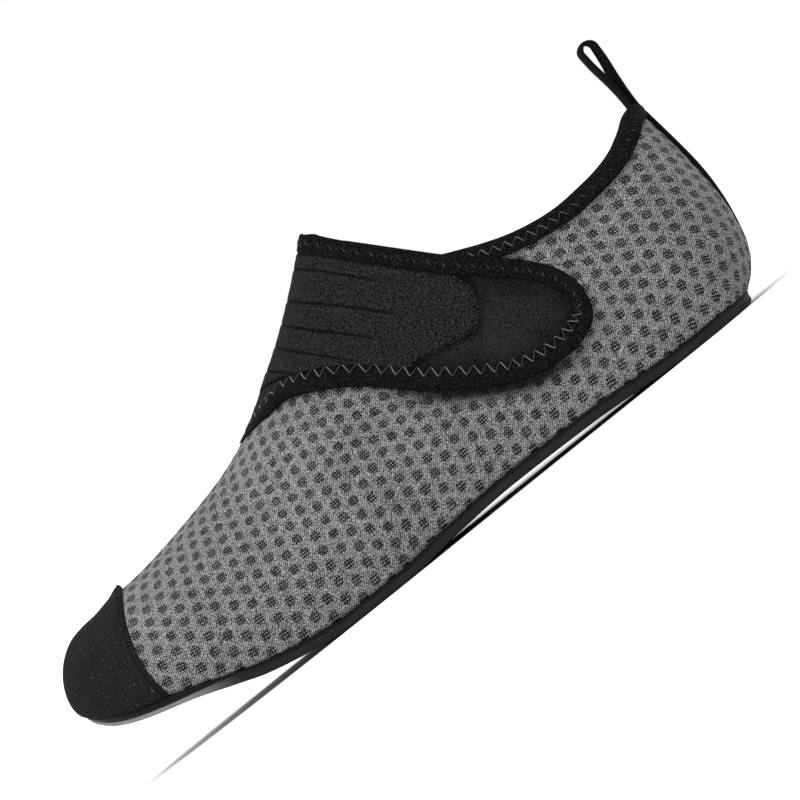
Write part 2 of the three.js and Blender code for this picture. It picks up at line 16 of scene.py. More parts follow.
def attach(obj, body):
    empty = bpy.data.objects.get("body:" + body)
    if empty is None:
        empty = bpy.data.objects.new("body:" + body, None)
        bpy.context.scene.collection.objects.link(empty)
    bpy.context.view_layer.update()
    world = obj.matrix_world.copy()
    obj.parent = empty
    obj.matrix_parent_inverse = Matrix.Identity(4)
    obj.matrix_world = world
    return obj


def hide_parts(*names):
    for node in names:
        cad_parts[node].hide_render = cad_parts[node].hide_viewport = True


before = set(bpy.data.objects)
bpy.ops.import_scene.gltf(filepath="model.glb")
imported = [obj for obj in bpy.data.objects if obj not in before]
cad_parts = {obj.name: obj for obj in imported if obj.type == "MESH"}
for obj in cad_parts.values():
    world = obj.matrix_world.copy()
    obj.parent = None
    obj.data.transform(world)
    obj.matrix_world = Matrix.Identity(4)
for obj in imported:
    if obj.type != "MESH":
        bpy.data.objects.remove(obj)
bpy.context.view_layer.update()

bl_info = {
    "name": "Water shoe",
    "version": (1, 0, 0),
    "blender": (4, 5, 0),
    "location": "View3D > Sidebar > Shoe",
    "description": "Builds the cloth, seams and sole of a left water shoe round its fixed frame",
    "category": "Object",
}

MM = 0.001
SHIFT = np.array([137.95, 0.51])

SHOE_LENGTH = 275.0
BALL_WIDTH = 96.0
HEEL_WIDTH = 67.0
COLLAR_WIDTH = 54.0
INSTEP_HEIGHT = 110.0
TOE_HEIGHT = 54.0
COLLAR_HEIGHT = 66.0
FORM_BACK = 1.2
FORM_LENGTH = 272.5
SOLE_EDGE = 4.2
ARCH_HEIGHT = 3.0
TOE_SPRING = 26.8
CLEARANCE = 0.3
SOLE_RIM = 0.9
WALL = 1.5

# How far the mesh and the collar's tape end below the throat line
MESH_LOWERED = 2.4
TAPE_LOWERED = 1.2

# Underside of the sole: share of the length, share of the arch, share of the toe spring
SOLE_PROFILE = np.array([
    (0, 0, 0), (0.165, 0, 0), (0.22, 0.35, 0), (0.3, 0.8, 0), (0.42, 1, 0),
    (0.52, 0.55, 0), (0.58, 0, 0), (0.672, 0, 0), (0.73, 0, 0.075), (0.785, 0, 0.19),
    (0.82, 0, 0.31), (0.87, 0, 0.49), (0.94, 0, 0.69), (0.97, 0, 0.82), (1, 0, 1.06),
])

# Sections of the form: foot, lateral, medial, out, lift, crest, side, half, rise,
# ahead, reach, drop, as in the part's source
SECTIONS = np.array([
    (0.047, 0, 0, 0.4, 0.13, 0.032, 0, 0, 1.2, 0.009, 0, 0.395),
    (0.06, 0.23, 0.23, 0.3, 0.17, 0.047, 0, 0.27, 1.2, 0.01, 0.02, 0.4),
    (0.11, 0.42, 0.42, 0.12, 0.24, 0.1, 0, 0.44, 1.2, 0.012, 0.03, 0.42),
    (0.18, 0.475, 0.47, 0.085, 0.28, 0.17, 0, 0.5, 1.2, 0.02, 0.03, 0.42),
    (0.265, 0.475, 0.455, 0.07, 0.32, 0.24, 0, 0.47, 1.2, 0.04, 0.05, 0.42),
    (0.35, 0.46, 0.42, 0.06, 0.36, 0.3, 0, 0.36, 1.2, 0.07, 0.1, 0.4),
    (0.43, 0.455, 0.4, 0.055, 0.4, 0.335, 0, 0.19, 1.2, 0.09, 0.14, 0.32),
    (0.51, 0.465, 0.42, 0.05, 0.42, 0.345, 0, 0, 1.2, 0.1, 0.17, 0.22),
    (0.59, 0.485, 0.46, 0.05, 0.42, 0.432, 0, 0, 0.981, 0.06, 0.22, 0.12),
    (0.665, 0.5, 0.485, 0.05, 0.42, 0.55, 0, 0, 0.807, 0.03, 0.26, 0.07),
    (0.74, 0.495, 0.49, 0.05, 0.42, 0.665, 0, 0, 1.065, 0.02, 0.28, 0.03),
    (0.81, 0.455, 0.475, 0.05, 0.42, 0.76, 0.01, 0, 1.115, 0.015, 0.28, 0.015),
    (0.88, 0.385, 0.44, 0.05, 0.38, 0.83, 0.03, 0, 1.055, 0.02, 0.26, 0.01),
    (0.94, 0.28, 0.38, 0.05, 0.32, 0.88, 0.05, 0, 1.03, 0.04, 0.2, 0),
    (0.982, 0.11, 0.26, 0.05, 0.22, 0.905, 0.065, 0, 1.0, 0.065, 0.1, -0.02),
    (0.996, -0.08, 0.08, 0.055, 0.12, 0.915, 0.075, 0, 0.996, 0.074, 0, -0.03),
])
LAST = len(SECTIONS) - 1
RIDGE_FROM = 7 / (2 * LAST)

# How the mesh lies on the outer side: the number of each dot along its two rows as
# a smooth function of the cloth, with powers of forward and up in hundreds of mm
CLOTH_STRETCH = np.array([
    (1.043, -4.52), (-0.398, -9.937), (0.053, 0.125), (-1.01, 1.79), (-18.273, 10.591),
    (-0.911, 1.654), (-0.812, 1.628), (-0.547, 0.486), (-1.299, 1.322), (0.597, 0.804),
])
CLOTH_POWERS = [(i, j) for i in range(4) for j in range(4 - i)]

# On the inner side: forward and up from one dot to the next along both rows, how far
# forward on the ridge the two sides agree, and how far down the rest of the miss fades
DOT_STEPS = ((5.45, 2.9), (-0.45, 5.3))
CLOTH_MEETING = 205
CLOTH_FADE = 55

# Side outlines: share of the shoe length, share of the named height
COLLAR_EDGE = [
    (-0.1, 1.2), (0.03, 1.144), (0.052, 1.088), (0.075, 1.04), (0.1, 1.011),
    (0.135, 0.994), (0.17, 0.988), (0.22, 1.016), (0.26, 1.065), (0.3152, 1.162),
]
STRAP_EDGE = [
    (0.3152, 0.697), (0.2432, 0.5315), (0.2191, 0.4565), (0.2083, 0.375),
    (0.2167, 0.276), (0.2442, 0.2345), (0.275, 0.2255), (0.3077, 0.2331), (0.3397, 0.2585),
    (0.3679, 0.296), (0.3939, 0.3389), (0.4207, 0.3872), (0.4464, 0.4396), (0.4671, 0.4885),
    (0.4836, 0.527), (0.523, 0.5926), (0.5735, 0.6426), (0.6, 0.625), (0.66, 0.5),
]
ROOT_EDGE = [
    (0.3152, 0.697), (0.29, 0.6), (0.282, 0.52), (0.296, 0.455), (0.335, 0.435),
    (0.39, 0.44), (0.44, 0.47), (0.4834, 0.5225), (0.5279, 0.5976),
    (0.5735, 0.6426), (0.6, 0.625), (0.66, 0.5),
]
PANEL_END = [
    (0.335, 0.74), (0.322, 0.66), (0.3131, 0.6054), (0.3089, 0.569), (0.3131, 0.5207),
    (0.3168, 0.4945), (0.3245, 0.4705), (0.3361, 0.4486), (0.3694, 0.4597),
    (0.3935, 0.4717), (0.4175, 0.4837), (0.47, 0.44),
]
CAP_EDGE = [
    (0.83, 1.35), (0.861, 1.06), (0.866, 1.01), (0.881, 0.88),
    (0.893, 0.7), (0.897, 0.55), (0.894, 0.38), (0.886, 0.15),
]
# Front of the strap from above: share of the shoe length, share of the ball width
STRAP_ARCH = [
    (0.6458, 0), (0.637, 0.065), (0.618, 0.135), (0.597, 0.195),
    (0.578, 0.26), (0.567, 0.34), (0.56, 0.5),
]
STRAP_CORNER = np.array([0.4281 * SHOE_LENGTH, INSTEP_HEIGHT])


# ---------------------------------------------------------------- curves

def ease(value):
    share = np.clip(value, 0.0, 1.0)
    return share * share * (3 - 2 * share)


def bell(value, width):
    """1 at nothing, falling off on both sides over about the width."""
    return np.exp(-(value / width) ** 2)


def mix(first, second, share):
    return first + (second - first) * share


def unit(vectors):
    return vectors / np.maximum(np.linalg.norm(vectors, axis=-1, keepdims=True), 1e-9)


def dot(first, second):
    return (first * second).sum(-1)


def run_length(points):
    """The distance along a line at each of its points."""
    return np.concatenate([[0], np.cumsum(np.linalg.norm(np.diff(points, axis=0), axis=1))])


def taken(at, grid, points):
    """Points read off between the known ones, at places along their grid."""
    return np.column_stack([np.interp(at, grid, column) for column in points.T])


def pairs(first, second):
    """A grid of pairs from two rows of numbers."""
    return np.stack(np.meshgrid(first, second, indexing="ij"), axis=2)


def smooth_curve(points, shares, closed=False):
    """Points at shares of a curve through the given points, drawn in without overshoot."""
    points = np.asarray(points, float)
    if closed:
        spans = len(points)
        padded = np.vstack([points[-1:], points, points[:2]])
    else:
        spans = len(points) - 1
        before = 2 * points[:1] - points[1:2]
        after = 2 * points[-1:] - points[-2:-1]
        padded = np.vstack([before, points, after])
    place = np.asarray(shares, float) * spans
    first = np.clip(np.floor(place).astype(int), 0, spans - 1)
    weight = (place - first)[:, None]
    a, b, c, d = (padded[first + shift] for shift in range(4))
    step_a, step_b, step_c = (
        np.sqrt(np.linalg.norm(gap, axis=1, keepdims=True)).clip(1e-4) for gap in (b - a, c - b, d - c))
    enter = ((b - a) / step_a - (c - a) / (step_a + step_b) + (c - b) / step_b) * step_b
    leave = ((c - b) / step_b - (d - b) / (step_b + step_c) + (d - c) / step_c) * step_b
    bend = -3 * b + 3 * c - 2 * enter - leave
    twist = 2 * b - 2 * c + enter + leave
    return b + enter * weight + bend * weight ** 2 + twist * weight ** 3


def table_curve(column, at):
    """One column of the sole profile, flat wherever two rows are equal."""
    along, values = SOLE_PROFILE[:, 0], SOLE_PROFILE[:, column]
    slopes = np.diff(values) / np.diff(along)
    before = np.concatenate([slopes[:1], slopes])
    after = np.concatenate([slopes, slopes[-1:]])
    total = before + after
    knots = np.where(before * after > 0, 2 * before * after / np.where(total == 0, 1, total), 0)
    row = np.clip(np.searchsorted(along, at) - 1, 0, len(along) - 2)
    step = along[row + 1] - along[row]
    share = np.clip((at - along[row]) / step, 0, 1)
    enter = share * (1 - share) ** 2 * step
    leave = share ** 2 * (share - 1) * step
    level = mix(values[row], values[row + 1], ease(share))
    return level + enter * knots[row] + leave * knots[row + 1]


def sole_bottom(length):
    along = np.asarray(length, float) / SHOE_LENGTH
    return ARCH_HEIGHT * table_curve(1, along) + TOE_SPRING * table_curve(2, along)


def sole_top(length):
    return sole_bottom(length) + SOLE_EDGE


def side_line(rows, height, count):
    points = np.array(rows) * (SHOE_LENGTH, height)
    return smooth_curve(points, np.linspace(0, 1, count))


def left_distance(points, line):
    """Distance of plane points to a line, positive on its left."""
    start, step = line[:-1], np.diff(line, axis=0)
    apart = points[:, None, :] - start[None]
    share = np.clip(dot(apart, step) / dot(step, step), 0, 1)
    gaps = apart - share[..., None] * step
    lengths = np.linalg.norm(gaps, axis=2)
    nearest = lengths.argmin(1)
    rows = np.arange(len(points))
    chosen = apart[rows, nearest]
    across = step[nearest, 0] * chosen[:, 1] - step[nearest, 1] * chosen[:, 0]
    return np.where(across >= 0, 1, -1) * lengths[rows, nearest]


def even_path(points, count, closed=False):
    """Points at even spaces along a line."""
    points = np.vstack([points, points[:1]]) if closed else points
    lengths = run_length(points)
    return taken(np.linspace(0, lengths[-1], count, endpoint=not closed), lengths, points)


# ---------------------------------------------------------------- the form of the shoe

class Form:
    """The upper's outer face as a fine table. A place is (column, row): the column goes
    once round the shoe from the heel along the outer side, the row climbs from the sole
    to the crest, and past 1 it comes down the other side."""

    columns = 600
    rows = 121

    def __init__(self):
        foot, low, high, crest = self.section_points()
        self.edge = foot
        self.crest = self.rail(crest)
        self.join_crest()
        share = np.linspace(0, 1, self.rows)[None, :, None]
        rails = [rail[:, None, :] for rail in (self.rail(foot), self.rail(low), self.rail(high), self.crest)]
        weights = [(1 - share) ** 3, 3 * share * (1 - share) ** 2, 3 * share ** 2 * (1 - share), share ** 3]
        self.points = sum(weight * rail for weight, rail in zip(weights, rails))
        self.round_ridge()
        self.normals = self.surface_normals()
        self.weave = self.weave_map()
        self.fields = np.concatenate([self.points, self.normals, self.weave], axis=2)

    def rail(self, points):
        return smooth_curve(points, np.arange(self.columns) / self.columns, closed=True)

    @staticmethod
    def width(along):
        return mix(HEEL_WIDTH, BALL_WIDTH, ease((along - 0.2) / 0.4))

    @staticmethod
    def height(along):
        return mix(INSTEP_HEIGHT, TOE_HEIGHT, ease((along - 0.5) / 0.22))

    def section_points(self):
        """Points of the four rails once round the shoe: foot, low, high and crest."""
        order = np.concatenate([np.arange(LAST + 1), np.arange(LAST - 1, 0, -1)])
        side = np.where(np.arange(len(order)) > LAST, -1, 1)
        at, lateral, medial, out, lift, top, aside, half, rise, ahead, reach, drop = SECTIONS[order].T
        length = FORM_BACK + at * FORM_LENGTH
        width, height = self.width(at), self.height(top)
        share = np.where(side > 0, lateral, -medial)
        foot = np.column_stack([length, share * width, sole_top(length) + CLEARANCE])
        across = side * half * COLLAR_WIDTH - aside * self.width(top)
        crest = np.column_stack([FORM_BACK + top * FORM_LENGTH, across, rise * height])
        high = crest + np.column_stack([ahead * FORM_LENGTH, side * reach * width, -drop * rise * height])
        low = foot + self.plan_normals(foot) * (out * width)[:, None]
        low[:, 2] += lift * (crest[:, 2] - foot[:, 2])
        return foot, low, high, crest

    @staticmethod
    def plan_normals(points):
        before, after = np.roll(points, 1, axis=0), np.roll(points, -1, axis=0)
        flat = np.column_stack([before[:, 1] - after[:, 1], after[:, 0] - before[:, 0], np.zeros(len(points))])
        return unit(flat)

    def mirror(self, columns):
        return (self.columns - columns) % self.columns

    def ridge_columns(self):
        first = math.ceil(RIDGE_FROM * self.columns)
        return np.arange(first, self.columns // 2 + 1)

    def join_crest(self):
        outer = self.ridge_columns()
        inner = self.mirror(outer)
        middle = (self.crest[outer] + self.crest[inner]) / 2
        self.crest[outer] = middle
        self.crest[inner] = middle

    def round_ridge(self):
        """Rounds the top of the closed part without lowering its outline."""
        outer = self.ridge_columns()
        inner = self.mirror(outer)
        over = np.concatenate([self.points[outer], self.points[inner][:, -2::-1]], axis=1)
        start = over.copy()
        reach = np.abs(np.arange(over.shape[1]) - (self.rows - 1)) / 26
        weight = (1 - ease(reach))[None, :, None]
        for _ in range(90):
            step = over[:, :-2] + over[:, 2:] - 2 * over[:, 1:-1]
            over[:, 1:-1] += 0.25 * weight[:, 1:-1] * step
        lost = (start - over)[:, self.rows - 1:self.rows]
        over += lost * weight
        self.points[outer] = over[:, :self.rows]
        self.points[inner] = over[:, self.rows - 1:][:, ::-1]

    def surface_normals(self):
        around = np.roll(self.points, -1, axis=0) - np.roll(self.points, 1, axis=0)
        up = np.gradient(self.points, axis=1)
        normals = unit(np.cross(up, around))
        outer = self.ridge_columns()
        inner = self.mirror(outer)
        top = unit(normals[outer, -1] + normals[inner, -1])
        normals[outer, -1] = top
        normals[inner, -1] = top
        return normals

    def weave_map(self):
        """Flat cloth coordinates, forward and up, true to length on the flanks."""
        half = self.columns // 2
        weave = np.zeros((self.columns, self.rows, 2))
        start = int(0.13 * self.columns)
        for side in (1, -1):
            order = np.arange(half + 1) if side > 0 else self.mirror(np.arange(half + 1))
            points = self.points[order]
            steps = np.linalg.norm(np.diff(points[..., :2], axis=0), axis=2)
            along = points[..., 0].copy()
            for column in range(start - 1, -1, -1):
                along[column] = along[column + 1] - steps[column]
            ahead = np.gradient(points[..., :2], axis=0)
            ahead = unit(np.concatenate([ahead, np.zeros_like(ahead[..., :1])], axis=2))
            back = 1 - ease((np.arange(half + 1) - 0.6 * start) / (0.4 * start))[:, None, None]
            ahead = unit(mix(np.array([1.0, 0, 0]), ahead, back))
            climb = np.diff(points, axis=1)
            rise = np.sqrt(np.maximum(dot(climb, climb) - dot(climb, ahead[:, 1:]) ** 2, 1e-9))
            up = points[:, :1, 2] + np.concatenate([np.zeros((half + 1, 1)), np.cumsum(rise, axis=1)], axis=1)
            weave[order, :, 0] = along
            weave[order, :, 1] = up
        return self.dot_numbers(weave)

    def dot_numbers(self, weave):
        """The dots' row numbers. The cloth runs on over the ridge to the inner side."""
        half = self.columns // 2
        ridge = self.ridge_columns()
        outer = weave[:half + 1]
        inner = weave[self.mirror(np.arange(half + 1))]
        lines = [np.polyfit(side[ridge, -1, 0], side[ridge, -1, 1], 1)[0] for side in (outer, inner)]
        tilt_outer, tilt_inner = (math.atan(line) for line in lines)
        numbers = stretched(outer)
        tilt = tilt_outer + tilt_inner
        mirror = np.array([[math.cos(tilt), math.sin(tilt)], [math.sin(tilt), -math.cos(tilt)]])
        even = np.linalg.inv(np.array(DOT_STEPS).T)
        middle = ridge[np.abs(inner[ridge, -1, 0] - CLOTH_MEETING).argmin()]
        far = numbers[middle, -1] + (inner - inner[middle, -1]) @ (even @ mirror).T
        first = np.maximum(np.arange(half + 1), ridge[0])
        miss = (numbers[first, -1] - far[first, -1])[:, None]
        depth = np.linalg.norm(inner - inner[first, -1][:, None], axis=2, keepdims=True)
        far = far + miss * (1 - ease(depth / CLOTH_FADE))
        weave[self.mirror(np.arange(1, half))] = far[1:half]
        weave[:half + 1] = numbers
        return weave

    def sample(self, places):
        """Points, outward normals and cloth coordinates at places."""
        column, row = places[..., 0], places[..., 1]
        over = row > 1
        column = np.where(over, 1 - column, column) % 1.0
        row = np.clip(np.where(over, 2 - row, row), 0, 1)
        column, row = column * self.columns, row * (self.rows - 1)
        first = np.floor(column).astype(int)
        low = np.clip(np.floor(row).astype(int), 0, self.rows - 2)
        across, up = (column - first)[..., None], (row - low)[..., None]
        first, second = first % self.columns, (first + 1) % self.columns
        bottom = mix(self.fields[first, low], self.fields[second, low], across)
        top = mix(self.fields[first, low + 1], self.fields[second, low + 1], across)
        values = mix(bottom, top, up)
        return values[..., :3], unit(values[..., 3:6]), values[..., 6:8]

    def slopes(self, places):
        step = np.array([0.6 / self.columns, 0])
        around = (self.sample(places + step)[0] - self.sample(places - step)[0]) / (2 * step[0])
        rise = np.array([0, 0.6 / (self.rows - 1)])
        up = (self.sample(places + rise)[0] - self.sample(places - rise)[0]) / (2 * rise[1])
        return around, up

    def locate(self, targets, axes, columns, rows=(0, 1)):
        """Places whose points have the target values on two axes, within ranges."""
        count = 160
        across = np.linspace(*columns, count)
        up = np.linspace(*rows, count)
        grid = pairs(across, up).reshape(-1, 2)
        known = self.sample(grid)[0][:, axes]
        places = np.array([grid[((known - target) ** 2).sum(1).argmin()] for target in targets])
        for _ in range(6):
            miss = targets - self.sample(places)[0][:, axes]
            around, climb = self.slopes(places)
            matrix = np.stack([around[:, axes], climb[:, axes]], axis=2)
            matrix += np.eye(2) * 1e-6
            step = np.linalg.solve(matrix, miss[..., None])[..., 0]
            places = places + np.clip(step, -0.02, 0.02)
            places[:, 1] = np.clip(places[:, 1], rows[0], rows[1])
        return places

    def walk(self, places, directions, distance):
        """Moves places over the surface by a distance along directions."""
        count = max(1, math.ceil(abs(distance) / 0.8))
        for _ in range(count):
            normals = self.sample(places)[1]
            flat = unit(directions - dot(directions, normals)[:, None] * normals)
            around, up = self.slopes(places)
            aa, ab, bb = dot(around, around), dot(around, up), dot(up, up)
            ga, gb = dot(around, flat), dot(up, flat)
            determinant = np.maximum(aa * bb - ab * ab, 1e-6)
            step = np.column_stack([(ga * bb - gb * ab), (gb * aa - ga * ab)]) / determinant[:, None]
            places = places + step * distance / count
            directions = flat
        return places


def stretched(cloth):
    """The dots' numbers at cloth coordinates of the outer side."""
    forward, up = (cloth[..., 0] - 130) / 100, (cloth[..., 1] - 50) / 50
    terms = np.stack([forward ** i * up ** j for i, j in CLOTH_POWERS], axis=-1)
    return -(terms @ CLOTH_STRETCH)


FORM = Form()


def off_form(places, height):
    """Points at a height over the form."""
    points, normals, _ = FORM.sample(places)
    return points + normals * np.asarray(height)[..., None]


def throat_height(lowered):
    """The throat line, lowered by a distance, as lengths and heights."""
    collar = side_line(COLLAR_EDGE, COLLAR_HEIGHT, 80)
    start = np.array(STRAP_EDGE[0]) * (SHOE_LENGTH, INSTEP_HEIGHT)
    rise = unit(STRAP_CORNER - start)
    line = np.vstack([collar, STRAP_CORNER + rise * 60])
    tangent = unit(np.gradient(line, axis=0))
    return line + np.column_stack([tangent[:, 1], -tangent[:, 0]]) * lowered


def throat_rows(columns, lowered):
    """The row at which each column meets the lowered throat line, or 1 past it."""
    line = throat_height(lowered)
    rows = np.linspace(0, 1, 241)
    points = FORM.sample(pairs(columns, rows))[0]
    above = points[..., 2] - np.interp(points[..., 0], line[:, 0], line[:, 1])
    above[:, :40] = -1
    crossed = above >= 0
    first = np.where(crossed.any(1), crossed.argmax(1), len(rows) - 1)
    last = np.maximum(first - 1, 0)
    span = np.arange(len(columns))
    below, over = above[span, last], above[span, first]
    share = np.where(crossed.any(1), -below / np.where(over == below, 1, over - below), 1)
    return np.where(crossed.any(1), mix(rows[last], rows[first], share), 1.0)


# ---------------------------------------------------------------- meshes

def row_points(points):
    """Working millimetres to the frame's metres."""
    moved = np.array(points, float)
    moved[..., 0] = (SHIFT[0] - moved[..., 0]) * MM
    moved[..., 1] = (SHIFT[1] - moved[..., 1]) * MM
    moved[..., 2] *= MM
    return moved


def row_vectors(vectors):
    return np.array(vectors) * (-1, -1, 1)


def add_grid(mesh, points, weave, keep=None, shadow=None):
    """Adds a grid to the mesh and moves its vertices to the points. shadow is how
    much painted shade darkens the cloth there, and how much a thread is dimmed."""
    layer = mesh.loops.layers.uv.get("UVMap") or mesh.loops.layers.uv.new("UVMap")
    dark = mesh.verts.layers.float.get("shadow") or mesh.verts.layers.float.new("shadow")
    columns, rows = points.shape[:2]
    made = bmesh.ops.create_grid(mesh, x_segments=columns - 1, y_segments=rows - 1, size=1.0)["verts"]
    target = row_points(points)
    cells = {}
    for vertex in made:
        column = round((vertex.co.x + 1) / 2 * (columns - 1))
        row = round((vertex.co.y + 1) / 2 * (rows - 1))
        cells[vertex] = (column, row)
        vertex.co = target[column, row]
        vertex[dark] = 0.0 if shadow is None else shadow[column, row]
    faces = {face for vertex in made for face in vertex.link_faces}
    dropped = []
    for face in faces:
        face.smooth = True
        for loop in face.loops:
            loop[layer].uv = weave[cells[loop.vert]] * MM
        if keep is not None and not all(keep[cells[vertex]] for vertex in face.verts):
            dropped.append(face)
    if dropped:
        bmesh.ops.delete(mesh, geom=dropped, context="FACES")


def face_outwards(mesh, normals_at):
    """Turns the faces if most of them look inwards."""
    if sum(face.normal.dot(normals_at(face)) for face in list(mesh.faces)[::37]) < 0:
        bmesh.ops.reverse_faces(mesh, faces=mesh.faces[:])


def finish_piece(mesh, name, material, node, thickness=0.0):
    """Turns a mesh into a piece of the shoe that rides on the frame."""
    data = bpy.data.meshes.new(name)
    mesh.to_mesh(data)
    mesh.free()
    data.materials.append(material)
    piece = bpy.data.objects.new(name, data)
    bpy.context.scene.collection.objects.link(piece)
    if thickness:
        wall = piece.modifiers.new("Wall", "SOLIDIFY")
        wall.thickness = thickness * MM
        wall.offset = -1.0
    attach(piece, "root")
    if node:
        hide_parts(node)
    return piece


def weld(mesh, merge):
    bmesh.ops.remove_doubles(mesh, verts=mesh.verts[:], dist=merge)
    bmesh.ops.dissolve_degenerate(mesh, edges=mesh.edges[:], dist=merge)


def sheet_piece(name, points, weave, normals, material, node, thickness, keep=None, merge=1e-6,
                shadow=None):
    """A sheet on the form with a wall towards it."""
    mesh = bmesh.new()
    add_grid(mesh, points, weave, keep, shadow)
    weld(mesh, merge)
    mesh.normal_update()
    centres = row_points(points).reshape(-1, 3)
    facing = row_vectors(normals).reshape(-1, 3)

    def near(face):
        centre = np.array(face.calc_center_median())
        return Vector(facing[((centres - centre) ** 2).sum(1).argmin()])

    face_outwards(mesh, near)
    return finish_piece(mesh, name, material, node, thickness)


def skin_piece(mesh, name, material, node, merge=1e-6):
    """Tubes as a piece, with their ends filled and their faces outwards."""
    bmesh.ops.remove_doubles(mesh, verts=mesh.verts[:], dist=merge)
    edges = [edge for edge in mesh.edges if edge.is_boundary]
    if edges:
        bmesh.ops.holes_fill(mesh, edges=edges, sides=0)
    bmesh.ops.recalc_face_normals(mesh, faces=mesh.faces[:])
    return finish_piece(mesh, name, material, node)


def moulded_piece(mesh, name, material, node):
    """A closed solid as a piece, with its faces outwards."""
    weld(mesh, 2e-6)
    bmesh.ops.recalc_face_normals(mesh, faces=mesh.faces[:])
    return finish_piece(mesh, name, material, node)


def add_tube(mesh, rings, along, closed=False, dim=None):
    """Adds rings of points as one skin, closed round each ring."""
    rings = np.concatenate([rings, rings[:, :1]], axis=1)
    spans = np.linalg.norm(np.diff(rings, axis=1), axis=2).mean(0)
    around = np.concatenate([[0], np.cumsum(spans)])
    if closed:
        rings = np.concatenate([rings, rings[:1]], axis=0)
        along = np.append(along, along[-1] + along[1] - along[0])
        dim = dim if dim is None else np.append(dim, dim[0])
    weave = pairs(along, around)
    shadow = dim if dim is None else np.broadcast_to(dim[:, None], weave.shape[:2])
    add_grid(mesh, rings, weave, shadow=shadow)


def tube_piece(name, rings, along, material, node, closed=False):
    mesh = bmesh.new()
    add_tube(mesh, rings, along, closed)
    return skin_piece(mesh, name, material, node)


def thread_rings(path, normals, width, height):
    """Rings of a thread along a path, flat towards the cloth."""
    ahead = unit(np.gradient(path, axis=0))
    across = unit(np.cross(ahead, normals))
    up = np.cross(across, ahead)
    angles = np.linspace(0, 2 * math.pi, 6, endpoint=False)
    side = np.cos(angles)[None, :, None] * across[:, None] * width / 2
    rise = np.sin(angles)[None, :, None] * up[:, None] * height / 2
    return path[:, None] + side + rise


# ---------------------------------------------------------------- finishes

# Colours of the painted shade laid by the shadow attribute, as in a fold, and of the painted shade in the gap
# between sole and cloth
FOLD_BLACK = (0.001, 0.001, 0.001)
GAP_SHADE_BLACK = (0.0006, 0.0006, 0.0006)


